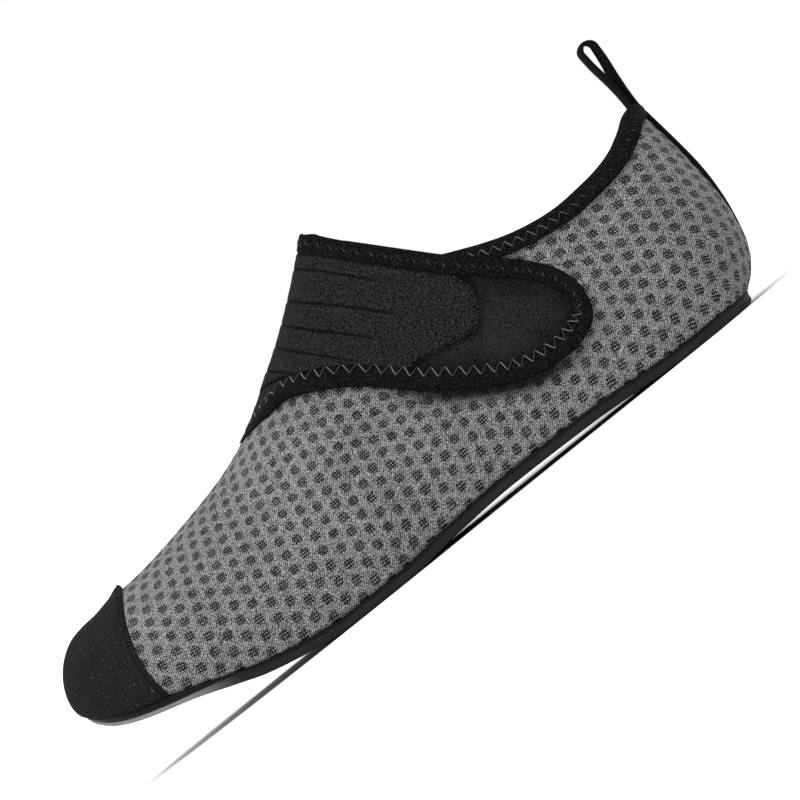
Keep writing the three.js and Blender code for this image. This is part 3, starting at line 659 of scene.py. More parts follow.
class Finish:
    """A material and short ways to lay its nodes."""

    def __init__(self, name, roughness, specular, sheen=0.0):
        self.material = bpy.data.materials.new(name)
        self.material.use_nodes = True
        self.tree = self.material.node_tree
        self.tree.nodes.clear()
        self.shader = self.add("ShaderNodeBsdfPrincipled")
        self.shader.inputs["Roughness"].default_value = roughness
        self.shader.inputs["Specular IOR Level"].default_value = specular
        self.shader.inputs["Sheen Weight"].default_value = sheen
        self.shader.inputs["Sheen Roughness"].default_value = 0.5
        output = self.add("ShaderNodeOutputMaterial")
        self.tree.links.new(self.shader.outputs[0], output.inputs[0])

    def add(self, kind, **settings):
        node = self.tree.nodes.new(kind)
        for key, value in settings.items():
            setattr(node, key, value)
        return node

    def put(self, socket, value):
        if isinstance(value, bpy.types.NodeSocket):
            self.tree.links.new(value, socket)
        elif isinstance(value, tuple) and len(value) == 3 and socket.type == "RGBA":
            socket.default_value = (*value, 1)
        else:
            socket.default_value = value

    def math(self, operation, *values):
        node = self.add("ShaderNodeMath", operation=operation)
        for socket, value in zip(node.inputs, values):
            self.put(socket, value)
        return node.outputs[0]

    def times(self, first, second):
        return self.math("MULTIPLY", first, second)

    def affine(self, value, factor, offset):
        return self.math("MULTIPLY_ADD", value, factor, offset)

    def split(self, vector, axes):
        """The parts of a vector in millimetres."""
        parts = self.add("ShaderNodeSeparateXYZ")
        self.put(parts.inputs[0], vector)
        return [self.times(parts.outputs[axis], 1000.0) for axis in range(axes)]

    def plane(self):
        """Cloth coordinates."""
        return self.split(self.add("ShaderNodeUVMap", uv_map="UVMap").outputs[0], 2)

    def place(self):
        return self.split(self.add("ShaderNodeTexCoord").outputs["Object"], 3)

    def weighted(self, first, one, second, two):
        left = self.times(first, one)
        return self.affine(second, two, left)

    def darkened(self, colour):
        """The colour with the painted shade of folds, gaps and the strap's edge, and the threads' dimming,
        laid over it.
        """
        share = self.add("ShaderNodeAttribute", attribute_name="shadow").outputs["Fac"]
        return self.blend(share, colour, FOLD_BLACK)

    def noise(self, scale, detail=2.0, roughness=0.5):
        node = self.add("ShaderNodeTexNoise")
        node.inputs["Scale"].default_value = scale
        node.inputs["Detail"].default_value = detail
        node.inputs["Roughness"].default_value = roughness
        self.put(node.inputs["Vector"], self.add("ShaderNodeTexCoord").outputs["Object"])
        return node.outputs["Fac"]

    def ramp(self, value, low, high, bottom=0.0, top=1.0):
        node = self.add("ShaderNodeMapRange", interpolation_type="SMOOTHSTEP")
        for socket, number in zip(node.inputs, (value, low, high, bottom, top)):
            self.put(socket, number)
        return node.outputs[0]

    def speck(self, high=0.64):
        """A speckle as fine as single threads."""
        return self.ramp(self.noise(2900, 1.0), 0.36, high)

    def fuzz(self, first, one, scale, two):
        """A weave mixed with the fuzz of its yarns."""
        yarns = self.noise(scale, 3.0, 0.7)
        return self.math("ADD", self.times(first, one), self.times(yarns, two))

    def graded(self, grain, low, high, colour, dark, light):
        """A colour from a dark to a light share of itself as the grain rises."""
        return self.blend(self.ramp(grain, low, high), scaled(colour, dark), scaled(colour, light))

    def wave(self, value, pitch, phase=0.0):
        """A ridge of height 0 to 1 at every pitch."""
        turn = self.affine(value, 2 * math.pi / pitch, phase)
        return self.affine(self.math("COSINE", turn), 0.5, 0.5)

    def blend(self, share, first, second):
        node = self.add("ShaderNodeMix", data_type="RGBA")
        colours = [socket for socket in node.inputs if socket.type == "RGBA"]
        self.put(node.inputs[0], share)
        self.put(colours[0], first)
        self.put(colours[1], second)
        return next(socket for socket in node.outputs if socket.type == "RGBA")

    def colour(self, value):
        self.put(self.shader.inputs["Base Color"], value)

    def rough(self, value):
        self.put(self.shader.inputs["Roughness"], value)

    def bump(self, height, depth):
        """depth is the full relief in millimetres."""
        node = self.add("ShaderNodeBump")
        node.inputs["Strength"].default_value = 1.0
        node.inputs["Distance"].default_value = depth * MM
        self.put(node.inputs["Height"], height)
        self.put(self.shader.inputs["Normal"], node.outputs[0])


def scaled(colour, factor):
    return tuple(channel * factor for channel in colour)


# Wales and courses of the knit between one dot and the next along both rows
WALES = (9.0, 4.5)
COURSES = (-1.0, 3.5)
WALE_PITCH = 0.683
COURSE_PITCH = 1.3


def dot_distance(first, second):
    """How far, in mm, cloth points lie from the middle of the nearest dot."""
    first, second = first - np.round(first), second - np.round(second)
    wide = (WALES[0] * first + WALES[1] * second) * WALE_PITCH
    high = (COURSES[0] * first + COURSES[1] * second) * COURSE_PITCH
    return np.hypot(wide, high)


def knit_finish(colours, sizes):
    """Grey air mesh: fine wales, and dots of small dark holes."""
    cloth = Finish("mesh_knit", 0.85, 0.1, sheen=0.05)
    u, v = cloth.plane()
    one = cloth.math("SUBTRACT", u, cloth.math("ROUND", u))
    two = cloth.math("SUBTRACT", v, cloth.math("ROUND", v))
    wide = cloth.weighted(one, WALES[0], two, WALES[1])
    high = cloth.weighted(one, COURSES[0], two, COURSES[1])
    across = cloth.times(wide, WALE_PITCH)
    along = cloth.times(high, COURSE_PITCH)
    squares = cloth.affine(along, along, cloth.times(across, across))
    distance = cloth.math("SQRT", squares)
    wander = cloth.noise(800, 2.0)
    distance = cloth.affine(wander, 0.7, distance)
    radius = sizes.dot_size / 2 + 0.35
    in_dot = cloth.ramp(distance, radius + 0.2, radius - 0.2)
    stagger = cloth.times(cloth.math("ROUND", wide), math.pi * 0.94)
    column = cloth.wave(wide, 1.0)
    course = cloth.affine(high, 2 * math.pi, stagger)
    course = cloth.affine(cloth.math("COSINE", course), 0.5, 0.5)
    deep = cloth.times(cloth.affine(column, 0.55, 0.45), course)
    holes = cloth.times(cloth.ramp(deep, 0.14, 0.34), in_dot)
    line = cloth.weighted(u, WALES[0], v, WALES[1])
    wale = cloth.wave(cloth.affine(cloth.noise(500, 2.0), 0.8, line), 1.0, math.pi)
    row = cloth.weighted(u, COURSES[0], v, COURSES[1])
    loops = cloth.wave(cloth.affine(wale, 0.3, row), 0.5)
    speck = cloth.speck()
    patch = cloth.noise(45, 3.0, 0.6)
    grain = cloth.times(cloth.affine(loops, 0.45, 0.55), wale)
    grain = cloth.affine(patch, 0.2, cloth.weighted(grain, 0.5, speck, 0.6))
    thread = cloth.graded(grain, 0.32, 1.0, colours.mesh, 0.1, 3.1)
    cloth.colour(cloth.darkened(cloth.blend(holes, thread, tuple(colours.mesh_holes))))
    relief = cloth.math("SUBTRACT", cloth.times(grain, 0.4), cloth.times(holes, 1.0))
    relief = cloth.math("SUBTRACT", relief, cloth.times(in_dot, 0.3))
    cloth.bump(relief, 0.3)
    return cloth.material


def cap_finish(colours):
    """Smooth black cloth with a fine speckle."""
    cloth = Finish("cap_fabric", 0.8, 0.03)
    speck = cloth.noise(2700, 1.5, 0.6)
    patch = cloth.noise(90, 2.0)
    shade = cloth.weighted(speck, 0.85, patch, 0.15)
    flecks = cloth.ramp(cloth.noise(1100, 1.0, 0.5), 0.7, 0.76)
    ground = cloth.graded(shade, 0.36, 0.64, colours.cap, 0.45, 1.6)
    cloth.colour(cloth.darkened(cloth.blend(flecks, ground, scaled(colours.cap, 7))))
    cloth.rough(cloth.ramp(patch, 0.3, 0.7, 0.72, 0.85))
    cloth.bump(speck, 0.12)
    return cloth.material


def ribbed_finish(colours):
    """Black knit with fine upright ribs."""
    cloth = Finish("ribbed_knit", 0.85, 0.02)
    u, v = cloth.plane()
    rib = cloth.wave(cloth.affine(cloth.noise(700), 0.25, u), 0.72)
    course = cloth.wave(v, 0.55)
    speck = cloth.speck()
    grain = cloth.times(rib, cloth.affine(course, 0.4, 0.6))
    grain = cloth.weighted(grain, 0.35, speck, 0.75)
    cloth.colour(cloth.darkened(cloth.graded(grain, 0.2, 0.85, colours.panel, 0.1, 2.6)))
    cloth.bump(grain, 0.2)
    return cloth.material


def nap_finish(colours):
    """Short brushed nap."""
    cloth = Finish("tab_fabric", 0.92, 0.02)
    fibre = cloth.noise(2700, 1.5, 0.6)
    brushed = cloth.noise(70, 3.0, 0.6)
    shade = cloth.weighted(fibre, 0.8, brushed, 0.2)
    cloth.colour(cloth.darkened(cloth.graded(shade, 0.4, 0.6, colours.tab, 0.3, 2.2)))
    cloth.bump(shade, 0.18)
    return cloth.material


def tape_finish(colours):
    """Folded elastic tape: fine cross ribs."""
    cloth = Finish("binding_tape", 0.8, 0.02)
    u, v = cloth.plane()
    rib = cloth.wave(cloth.affine(cloth.noise(800), 0.2, u), 0.5)
    course = cloth.wave(v, 0.62)
    speck = cloth.speck(0.66)
    grain = cloth.weighted(cloth.times(rib, course), 0.3, speck, 0.8)
    cloth.colour(cloth.graded(grain, 0.2, 0.9, colours.tape, 0.1, 3.2))
    cloth.bump(grain, 0.14)
    return cloth.material


def webbing_finish(colours):
    """Woven tape: a herringbone of flat yarns."""
    cloth = Finish("webbing", 0.75, 0.02)
    u, v = cloth.plane()
    fold = cloth.math("PINGPONG", v, 1.6)
    twill = cloth.wave(cloth.affine(fold, 0.9, u), 0.75)
    grain = cloth.fuzz(twill, 0.55, 2000, 0.45)
    cloth.colour(cloth.graded(grain, 0.2, 0.85, colours.webbing, 0.35, 2.2))
    cloth.bump(grain, 0.22)
    return cloth.material


def thread_finish(colours):
    """Grey twisted sewing thread."""
    cloth = Finish("thread", 0.6, 0.1)
    u, v = cloth.plane()
    twist = cloth.wave(cloth.affine(v, 0.8, u), 0.5)
    patch = cloth.noise(240, 2.0)
    share = cloth.affine(twist, 0.5, 0.5)
    share = cloth.times(share, cloth.ramp(patch, 0.35, 0.62, 0.25, 1.0))
    cloth.colour(cloth.darkened(cloth.blend(share, scaled(colours.thread, 0.4), tuple(colours.thread))))
    cloth.bump(twist, 0.06)
    return cloth.material


def rubber_finish(colours):
    """Matt rubber: a black rim with painted shade along its top, a blue grey side, and a painted reflection of
    the floor on the side under the toe.
    """
    rubber = Finish("sole_rubber", 0.6, 0.07)
    x, _, _ = rubber.place()
    _, down = rubber.plane()
    fine = rubber.noise(1500, 3.0, 0.6)
    scuff = rubber.noise(60, 4.0, 0.65)
    # Mask of the toe: there the side takes the painted reflection of the floor, and the black rim reaches
    # deeper.
    toe = rubber.ramp(x, -84.0, -108.0)
    side = rubber.blend(toe, tuple(colours.sole), tuple(colours.toe_floor_reflection))
    side = rubber.blend(rubber.ramp(scuff, 0.45, 0.75, 0.0, 0.3), side, scaled(colours.sole, 2.6))
    edge = rubber.affine(toe, 1.55, 0.95)
    rim = rubber.ramp(rubber.math("SUBTRACT", edge, down), -0.06, 0.06)
    # The rim's top edge is painted near black: painted shade in the gap under the cloth.
    top = rubber.blend(rubber.ramp(down, 0.3, 0.55), GAP_SHADE_BLACK, tuple(colours.sole_rim))
    rubber.colour(rubber.blend(rim, side, top))
    rubber.rough(rubber.ramp(scuff, 0.3, 0.7, 0.48, 0.66))
    rubber.bump(fine, 0.05)
    return rubber.material


def insole_finish(colours):
    """Flat knit over foam."""
    cloth = Finish("insole_fabric", 0.9, 0.1, sheen=0.02)
    x, y, _ = cloth.place()
    weave = cloth.times(cloth.wave(x, 0.9), cloth.wave(y, 0.9))
    grain = cloth.fuzz(weave, 0.4, 1800, 0.6)
    cloth.colour(cloth.graded(grain, 0.25, 0.8, colours.insole, 0.5, 1.6))
    cloth.bump(grain, 0.15)
    return cloth.material


MADE = {}


def made(make, *settings):
    """A finish that several pieces share, made once."""
    if make not in MADE:
        MADE[make] = make(*settings)
    return MADE[make]


# ---------------------------------------------------------------- sizes and colours

def length(name, description, default):
    return bpy.props.FloatProperty(
        name=name, description=description, default=default, unit="LENGTH", precision=5)


def shade(name, description, default):
    return bpy.props.FloatVectorProperty(
        name=name, description=description, default=default, subtype="COLOR", min=0.0, max=1.0)


class ShoeSizes(bpy.types.PropertyGroup):
    """Sizes of the cloth, tapes and seams."""

    dot_size: length("Dot size", "Width of one cluster of holes in the mesh", 0.0036)
    dot_depth: length("Dot depth", "How far a cluster of holes sinks into the mesh", 0.00018)
    tape_width: length("Tape width", "Width of the folded tape on the outside", 0.0063)
    stitch_pitch: length("Stitch pitch", "Length of one zigzag", 0.0048)
    stitch_width: length("Stitch width", "Width of the zigzag seam", 0.0031)
    thread_width: length("Thread width", "Width of the sewing thread", 0.00038)
    pleat_depth: length("Pleat depth", "Depth of the pleats of the strap", 0.00045)
    loop_width: length("Loop width", "Width of the webbing of the pull loop", 0.008)


class ShoeColours(bpy.types.PropertyGroup):
    """Colours of the cloth, thread and rubber, and of the painted floor reflection on the sole's toe."""

    mesh: shade("Mesh", "Threads of the mesh", (0.092, 0.092, 0.094))
    mesh_holes: shade("Mesh holes", "Holes of the mesh", (0.002, 0.002, 0.002))
    cap: shade("Cap", "Cloth of the toe cap", (0.0085, 0.0087, 0.0084))
    panel: shade("Panel", "Ribbed knit of the strap", (0.0102, 0.0103, 0.0105))
    tab: shade("Tab", "Napped end of the strap", (0.0098, 0.01, 0.0102))
    tape: shade("Tape", "Folded tape", (0.0038, 0.0038, 0.004))
    webbing: shade("Webbing", "Pull loop and heel tape", (0.0042, 0.0042, 0.0045))
    thread: shade("Thread", "Zigzag seams", (0.15, 0.15, 0.15))
    sole: shade("Sole", "Side and tread of the sole", (0.0105, 0.012, 0.0135))
    # Painted reflection of the floor on the sole's side under the toe.
    toe_floor_reflection: shade("Sole at the toe", "Side of the sole under the toe", (0.19, 0.19, 0.19))
    sole_rim: shade("Sole rim", "Upper rim of the sole", (0.0055, 0.0055, 0.0057))
    insole: shade("Insole", "Cloth of the insole", (0.018, 0.018, 0.02))
    floor: shade("Floor", "Floor and background", (0.85, 0.85, 0.85))


def in_mm(sizes):
    """The shoe's sizes in working millimetres."""
    names = ShoeSizes.__annotations__
    return SimpleNamespace(**{name: getattr(sizes, name) / MM for name in names})


# ---------------------------------------------------------------- the upper and its cap

class SHOE_OT_upper(bpy.types.Operator):
    """Stretches the mesh over the form from the sole to the collar"""

    bl_idname = "shoe.upper"
    bl_label = "Mesh upper"

    def execute(self, context):
        sizes = in_mm(context.scene.shoe_sizes)
        columns = np.arange(FORM.columns + 1) / FORM.columns
        ends = throat_rows(columns[:-1], MESH_LOWERED)
        ends = np.append(ends, ends[0])
        places = pairs(columns, np.linspace(0, 1, 76))
        places[..., 1] *= ends[:, None]
        points, normals, weave = FORM.sample(places)
        near = ease(1.3 - dot_distance(weave[..., 0], weave[..., 1]) / (sizes.dot_size / 2))
        points = points - normals * (near * sizes.dot_depth)[..., None]
        points[:, 0, 2] -= 0.35
        finish = knit_finish(context.scene.shoe_colours, sizes)
        sheet_piece("mesh_upper", points, weave, normals, finish, "upper", WALL, merge=2e-5,
                    shadow=self.under_strap(points))
        return {"FINISHED"}

    def under_strap(self, points):
        """Shadow of the mesh just below the loose edge of the strap."""
        shadow = np.zeros(points.shape[:2])
        near = (points[..., 1] > 0) & (np.abs(points[..., 0] - 105) < 55)
        forward = points[near][:, 0]
        below = -left_distance(points[near][:, [0, 2]], side_line(STRAP_EDGE, INSTEP_HEIGHT, 90))
        lifted = ease((forward - 62) / 22) * (1 - ease((forward - 114) / 22))
        shadow[near] = 0.93 * lifted * (1 - ease((below - 1.4) / 4.8))
        return shadow


class SHOE_OT_toe_cap(bpy.types.Operator):
    """Lays the smooth cap over the toe"""

    bl_idname = "shoe.toe_cap"
    bl_label = "Toe cap"

    def edge_columns(self, rows, first, last):
        """The column at which each row meets the cap's rear edge."""
        edge = side_line(CAP_EDGE, TOE_HEIGHT, 60)
        columns = np.linspace(first, last, 120)
        points = FORM.sample(pairs(columns, rows))[0]
        order = edge[:, 1].argsort()
        past = points[..., 0] - np.interp(points[..., 2], edge[order, 1], edge[order, 0])
        found = []
        for row in range(len(rows)):
            ahead = past[:, row]
            found.append(np.interp(0, ahead, columns) if ahead[-1] > ahead[0] else columns[0])
        return np.array(found)

    def execute(self, context):
        rows = np.linspace(0, 1, 71)
        outer = self.edge_columns(rows, 0.3, 0.5)
        inner = self.edge_columns(rows, 0.7, 0.5)
        steps = np.linspace(0, 1, 221)
        steps = 0.5 - 0.5 * np.cos(steps * math.pi) * (0.35 + 0.65 * np.abs(np.cos(steps * math.pi)))
        columns = mix(outer[None, :], inner[None, :], steps[:, None])
        places = np.stack([columns, np.broadcast_to(rows, columns.shape)], axis=2)
        points, normals, weave = FORM.sample(places)
        lengths = np.linalg.norm(np.diff(points, axis=0), axis=2)
        run = np.concatenate([np.zeros((1, len(rows))), np.cumsum(lengths, axis=0)])
        edge = np.minimum(run, run[-1] - run)
        fold = ease(edge / 0.7)
        seam = 0.22 * bell(edge - 1.5, 0.35)
        height = 0.3 + 0.85 * fold - seam
        ridge = np.abs(points[..., 1] - points[:, -1:, 1])
        peak = 1.2 * bell(edge, 3.6) * bell(ridge, 3.5)
        points = points + normals * (height + peak)[..., None]
        points[:, 0, 2] -= 0.2
        shadow = 0.9 * bell(points[..., 2] - points[:, :1, 2], 0.8)
        shadow = np.maximum(shadow, 0.5 * bell(edge - 1.5, 0.5))
        finish = cap_finish(context.scene.shoe_colours)
        sheet_piece("toe_cap_cloth", points, weave, normals, finish, "toe_cap", 0.9, merge=2e-5,
                    shadow=shadow)
        return {"FINISHED"}


# ---------------------------------------------------------------- bindings and seams

FOLD_PROFILE = [
    (6.3, 0.45), (4.6, 0.4), (2.4, 0.35), (0.9, 0.34), (0.3, 0.5), (0.05, 0.85), (0.0, 1.25),
    (0.12, 1.65), (0.5, 1.98), (1.2, 2.15), (2.4, 2.22), (3.8, 2.2), (5.0, 2.14), (5.8, 2.06),
    (6.18, 1.95), (6.3, 1.75),
]

TOP_RISE = unit(STRAP_CORNER - np.array(STRAP_EDGE[0]) * (SHOE_LENGTH, INSTEP_HEIGHT))
TOP_DOWN = np.array([TOP_RISE[1], -TOP_RISE[0]])


def top_slices(depths, reach, space):
    """Even places over the strap: rows lie at depths below its straight top edge,
    columns at distances over the foot from the crest, the outer side first."""
    columns = np.linspace(0.06, 0.5, 500)
    rows = np.linspace(0, 1, 300)
    grid = pairs(columns, rows)
    sides = []
    for side in (1, -1):
        places = grid if side > 0 else np.stack([1 - grid[..., 0], grid[..., 1]], axis=2)
        points = FORM.sample(places)[0]
        sides.append((points[..., [0, 2]] - STRAP_CORNER) @ TOP_DOWN)
    spaces = np.arange(reach[0], reach[1] + 0.01, space)
    strips = []
    for depth in depths:
        halves = []
        for side, depth_at in zip((1, -1), sides):
            last = int(np.flatnonzero(depth_at[:, -1] <= depth).max())
            row = np.array([np.interp(-depth, -depth_at[c], rows) for c in range(last + 1)])
            share = (depth - depth_at[last, -1]) / (depth_at[last + 1, -1] - depth_at[last, -1])
            column = np.append(columns[:last + 1], mix(columns[last], columns[last + 1], share))
            row = np.append(row, 1.0)
            halves.append(np.column_stack([column, row if side > 0 else 2 - row]))
        outer, inner = halves
        inner[-1] = outer[-1]
        line = np.vstack([outer, inner[-2::-1]])
        at = run_length(FORM.sample(line)[0])
        strips.append(taken(spaces, at - at[len(outer) - 1], line))
    return spaces, np.stack(strips, axis=1)


def strap_arch(count):
    """The strap's front from above, from its inner to its outer side."""
    arch = np.array(STRAP_ARCH) * (SHOE_LENGTH, BALL_WIDTH)
    return smooth_curve(np.vstack([arch[:0:-1] * (1, -1), arch]), np.linspace(0, 1, count))


def strap_path():
    """The strap's edge as places on the form, once round from its top corner."""
    arch = strap_arch(120)
    sides = []
    for rows, columns in ((STRAP_EDGE, (0.08, 0.5)), (ROOT_EDGE, (0.92, 0.5))):
        line = np.vstack([STRAP_CORNER[None] - TOP_RISE * 10, side_line(rows, INSTEP_HEIGHT, 160)])
        line = even_path(line, 260)
        places = FORM.locate(line, [0, 2], columns)
        points = FORM.sample(places)[0]
        inside = left_distance(points[:, :2], arch) > 0
        stop = len(line) if inside.all() else int(np.argmin(inside))
        sides.append((places[:stop], points[stop - 1, 1]))
    (outer, outer_edge), (inner, inner_edge) = sides
    front = arch[(arch[:, 1] < outer_edge - 0.5) & (arch[:, 1] > inner_edge + 0.5)][::-1]
    over = FORM.locate(front, [0, 1], (0.3, 0.5), (0.55, 1.45))
    inner = np.column_stack([1 - inner[:, 0], 2 - inner[:, 1]])
    top = top_slices([0.05], (-45, 45), 0.5)[1][:, 0]
    height = FORM.sample(top)[0] @ (TOP_RISE[0], 0, TOP_RISE[1])
    top = top[height > STRAP_CORNER @ TOP_RISE - 9.2][::-1]
    path = np.vstack([outer, over, inner[::-1], top, outer[:1]])
    at = run_length(FORM.sample(path)[0])
    path = taken(np.linspace(0, at[-1], int(at[-1] / 0.9), endpoint=False), at, path)
    for _ in range(6):
        path = (np.roll(path, 1, axis=0) + 2 * path + np.roll(path, -1, axis=0)) / 4
    return path


def path_frame(path, closed):
    """Lengths along a path of places, and the directions across it."""
    points, normals, _ = FORM.sample(path)
    if closed:
        ahead = np.roll(points, -1, axis=0) - np.roll(points, 1, axis=0)
        spaces = np.linalg.norm(points - np.roll(points, 1, axis=0), axis=1)
        along = np.cumsum(spaces) - spaces[0]
    else:
        ahead = np.gradient(points, axis=0)
        along = run_length(points)
    return along, unit(np.cross(normals, unit(ahead)))


def shifted(path, across, distance):
    return FORM.walk(path, across, distance) if abs(distance) > 1e-6 else path


def pressed(points):
    """How flat the strap lies: 1, and less at its front over the crest."""
    return mix(1.0, 0.28, ease((points[..., 0] - 156) / 18))


def band_rings(path, across, profile, flat=False):
    """Rings of a tape along a path, from distances across it and heights over it."""
    share = pressed(FORM.sample(path)[0]) if flat else np.ones(len(path))
    rings = [off_form(shifted(path, across, inwards), height * share) for inwards, height in profile]
    return np.stack(rings, axis=1)


def zigzag(mesh, path, along, across, middle, width, pitch, thread, heights, closed, flat=False, shown=1.0):
    """Sews a zigzag thread over a path. middle and width are its place and swing across
    the path at each point, heights its levels at its outer and inner ends, and shown how
    bright it lies there."""
    total = along[-1] + (along[1] - along[0] if closed else 0)
    legs = int(round(total / (pitch / 2) / 2)) * 2
    at = np.linspace(0, total, legs * 7, endpoint=not closed)
    leg = at / total * legs
    swing = 1 - np.abs((leg % 2) - 1)
    swing = np.clip((swing - 0.5) * 1.12 + 0.5, 0, 1)
    lift = np.sin(np.pi * (leg % 1)) ** 0.55
    grid = np.append(along, total) if closed else along

    def carried(values):
        values = np.append(values, values[:1]) if closed else values
        return np.interp(at, grid, values)

    middle, width, shown = (carried(np.broadcast_to(value, len(path))) for value in (middle, width, shown))
    wanted = middle + (swing - 0.5) * width
    steps = np.linspace(wanted.min(), wanted.max(), 7)
    lanes = []
    for step in steps:
        lane = shifted(path, across, step)
        lanes.append(np.column_stack([carried(lane[:, axis]) for axis in (0, 1)]))
    lanes = np.stack(lanes)
    share = (wanted - steps[0]) / (steps[1] - steps[0])
    first = np.clip(np.floor(share).astype(int), 0, len(steps) - 2)
    rows = np.arange(len(at))
    places = mix(lanes[first, rows], lanes[first + 1, rows], (share - first)[:, None])
    base, normals, _ = FORM.sample(places)
    height = mix(heights[0], heights[1], swing)
    height = height * (pressed(base) if flat else 1) + lift * 0.3 - 0.22
    whole = mix(np.sin(np.pi * (leg % 1)) ** 3, 1.0, ease((shown - 0.3) / 0.6))
    dim = 1 - shown * whole * np.where(leg % 2 < 1, 1.0, 0.25)
    line = base + normals * height[:, None]
    add_tube(mesh, thread_rings(line, normals, thread, thread * 0.75), at, closed, dim)


# Pleats of the strap: depth under its top edge, and reach towards the tab from the crest
PLEATS = ((12.0, 52), (22.2, 62), (30.5, 58), (38.8, 55), (46.5, 48))

# Distance of the hem's stitches from the panel's rear end, at its short end and below it
HEM = (1.2, 2.4)

# How far the strap's cloths reach under the tape, as a share of its width, the space
# between their points, and how high they lie over the form
TUCK = 0.42
CLOTH_SPACE = 0.7
PANEL_LIFT = 1.35
TAB_LIFT = 1.25


class SHOE_OT_strap(bpy.types.Operator):
    """Builds the strap: ribbed panel, napped tab and the tape round its edge"""

    bl_idname = "shoe.strap"
    bl_label = "Strap"

    def inside_strap(self, points, inset):
        """Distance of points inside the strap's outline, drawn in by the inset."""
        flat = points.reshape(-1, 3)
        outer = left_distance(flat[:, [0, 2]], self.closed_line(STRAP_EDGE))
        inner = left_distance(flat[:, [0, 2]], self.closed_line(ROOT_EDGE))
        front = left_distance(flat[:, :2], strap_arch(60))
        side = np.where(flat[:, 1] > 0, outer, inner)
        near_top = FORM_BACK + 0.6 * FORM_LENGTH < flat[:, 0]
        side = np.where(near_top & (np.abs(flat[:, 1]) < 14), np.maximum(side, front), side)
        return (np.minimum(side, front) - inset).reshape(points.shape[:-1])

    def closed_line(self, rows):
        return np.vstack([STRAP_CORNER + TOP_RISE * 12, STRAP_CORNER, side_line(rows, INSTEP_HEIGHT, 90)])

    def panel(self, context, spaces, places, depths, width):
        sizes = in_mm(context.scene.shoe_sizes)
        places = self.trimmed(places, 0.72 * CLOTH_SPACE)
        points, normals, _ = FORM.sample(places)
        inside = self.inside_strap(points, width * TUCK)
        ahead = self.past_end(points)
        edge = np.maximum(ahead, 0)
        lower = 1 - ease((points[..., 2] - 49) / 5)
        hem = mix(HEM[0], HEM[1], lower)
        height = PANEL_LIFT + 0.6 * ease(edge / 0.9) - 0.45 * bell(edge - hem, 0.4)
        height += 0.3 * lower * bell(edge - 1.2, 0.6)
        pleats = self.pleats(sizes, spaces, depths)
        height += pleats
        shadow = np.clip(-pleats / (sizes.pleat_depth) * 1.3, 0, 0.85)
        shadow = np.maximum(shadow, 0.55 * bell(edge - hem, 0.45))
        shadow = np.maximum(shadow, 0.85 * bell(edge, 0.8))
        shadow = np.maximum(shadow, 0.4 * lower * (edge < hem))
        shadow = np.maximum(shadow, 0.8 * bell(inside + width * TUCK - width - 0.3, 0.5))
        height += 0.25 * np.sin(spaces / 21)[:, None] * np.sin(depths / 9 + spaces[:, None] / 40)
        under_tape = 1 - ease((inside + width * TUCK - width - 0.2) / 1.2)
        height = np.minimum(height, mix(9.0, 1.7, under_tape)) * pressed(points)
        weave = pairs(spaces, depths)
        line = points + normals * height[..., None]
        keep = (inside > 0) & (ahead > -0.02)
        piece = sheet_piece(
            "strap_panel_cloth", line, weave, normals, ribbed_finish(context.scene.shoe_colours),
            "strap_panel", 1.2, keep=keep, merge=1e-5, shadow=shadow)

    def hem_stitches(self, mesh, sizes):
        """Short light stitches along the hem of the panel's rear end."""
        line = even_path(side_line(PANEL_END, INSTEP_HEIGHT, 200), 400)
        ahead = unit(np.gradient(line, axis=0))
        lower = 1 - ease((line[:, 1] - 49) / 5)
        inset = mix(HEM[0], HEM[1], lower)
        line = line + np.column_stack([-ahead[:, 1], ahead[:, 0]]) * inset[:, None]
        places = FORM.locate(line, [0, 2], (0.08, 0.5))
        points, normals, _ = FORM.sample(places)
        inside = self.inside_strap(points, sizes.tape_width) > 0.3
        at = run_length(points)
        for start in np.arange(1.0, at[-1] - 1.5, 2.6):
            span = start + np.linspace(0, 0.85, 6)
            if not np.interp(span, at, inside.astype(float)).min() > 0.99:
                continue
            height = 1.72 + 0.24 * np.sin(np.linspace(0, math.pi, 6))
            out = unit(taken(span, at, normals))
            line = taken(span, at, points) + out * height[:, None]
            add_tube(mesh, thread_rings(line, out, 0.42, 0.34), span, dim=np.full(6, 0.74))

    def ahead_of_end(self, points):
        """Distance ahead of the panel's rear end."""
        end = side_line(PANEL_END, INSTEP_HEIGHT, 80)
        return left_distance(points[..., [0, 2]].reshape(-1, 2), end).reshape(points.shape[:-1])

    def past_end(self, points):
        """The same on the outer side, and out of reach elsewhere."""
        return np.where((points[..., 1] > 0) & (points[..., 0] < 140), self.ahead_of_end(points), 99)

    def trimmed(self, places, reach):
        """Moves the places that lie next to the panel's rear end onto it."""
        flat = places.reshape(-1, 2).copy()
        near = np.abs(self.past_end(FORM.sample(flat)[0])) < reach
        moved = flat[near]
        for _ in range(3):
            points = FORM.sample(moved)[0]
            ahead = self.past_end(points)
            step = 0.05
            slope = np.stack([
                self.past_end(points + np.array(shift) * step) - ahead
                for shift in ((1, 0, 0), (0, 0, 1))], axis=1) / step
            direction = np.column_stack([slope[:, 0], np.zeros(len(slope)), slope[:, 1]])
            for span in range(len(moved)):
                if abs(ahead[span]) > 1e-3:
                    one = slice(span, span + 1)
                    moved[one] = FORM.walk(moved[one], direction[one], -ahead[span])
        flat[near] = moved
        return flat.reshape(places.shape)

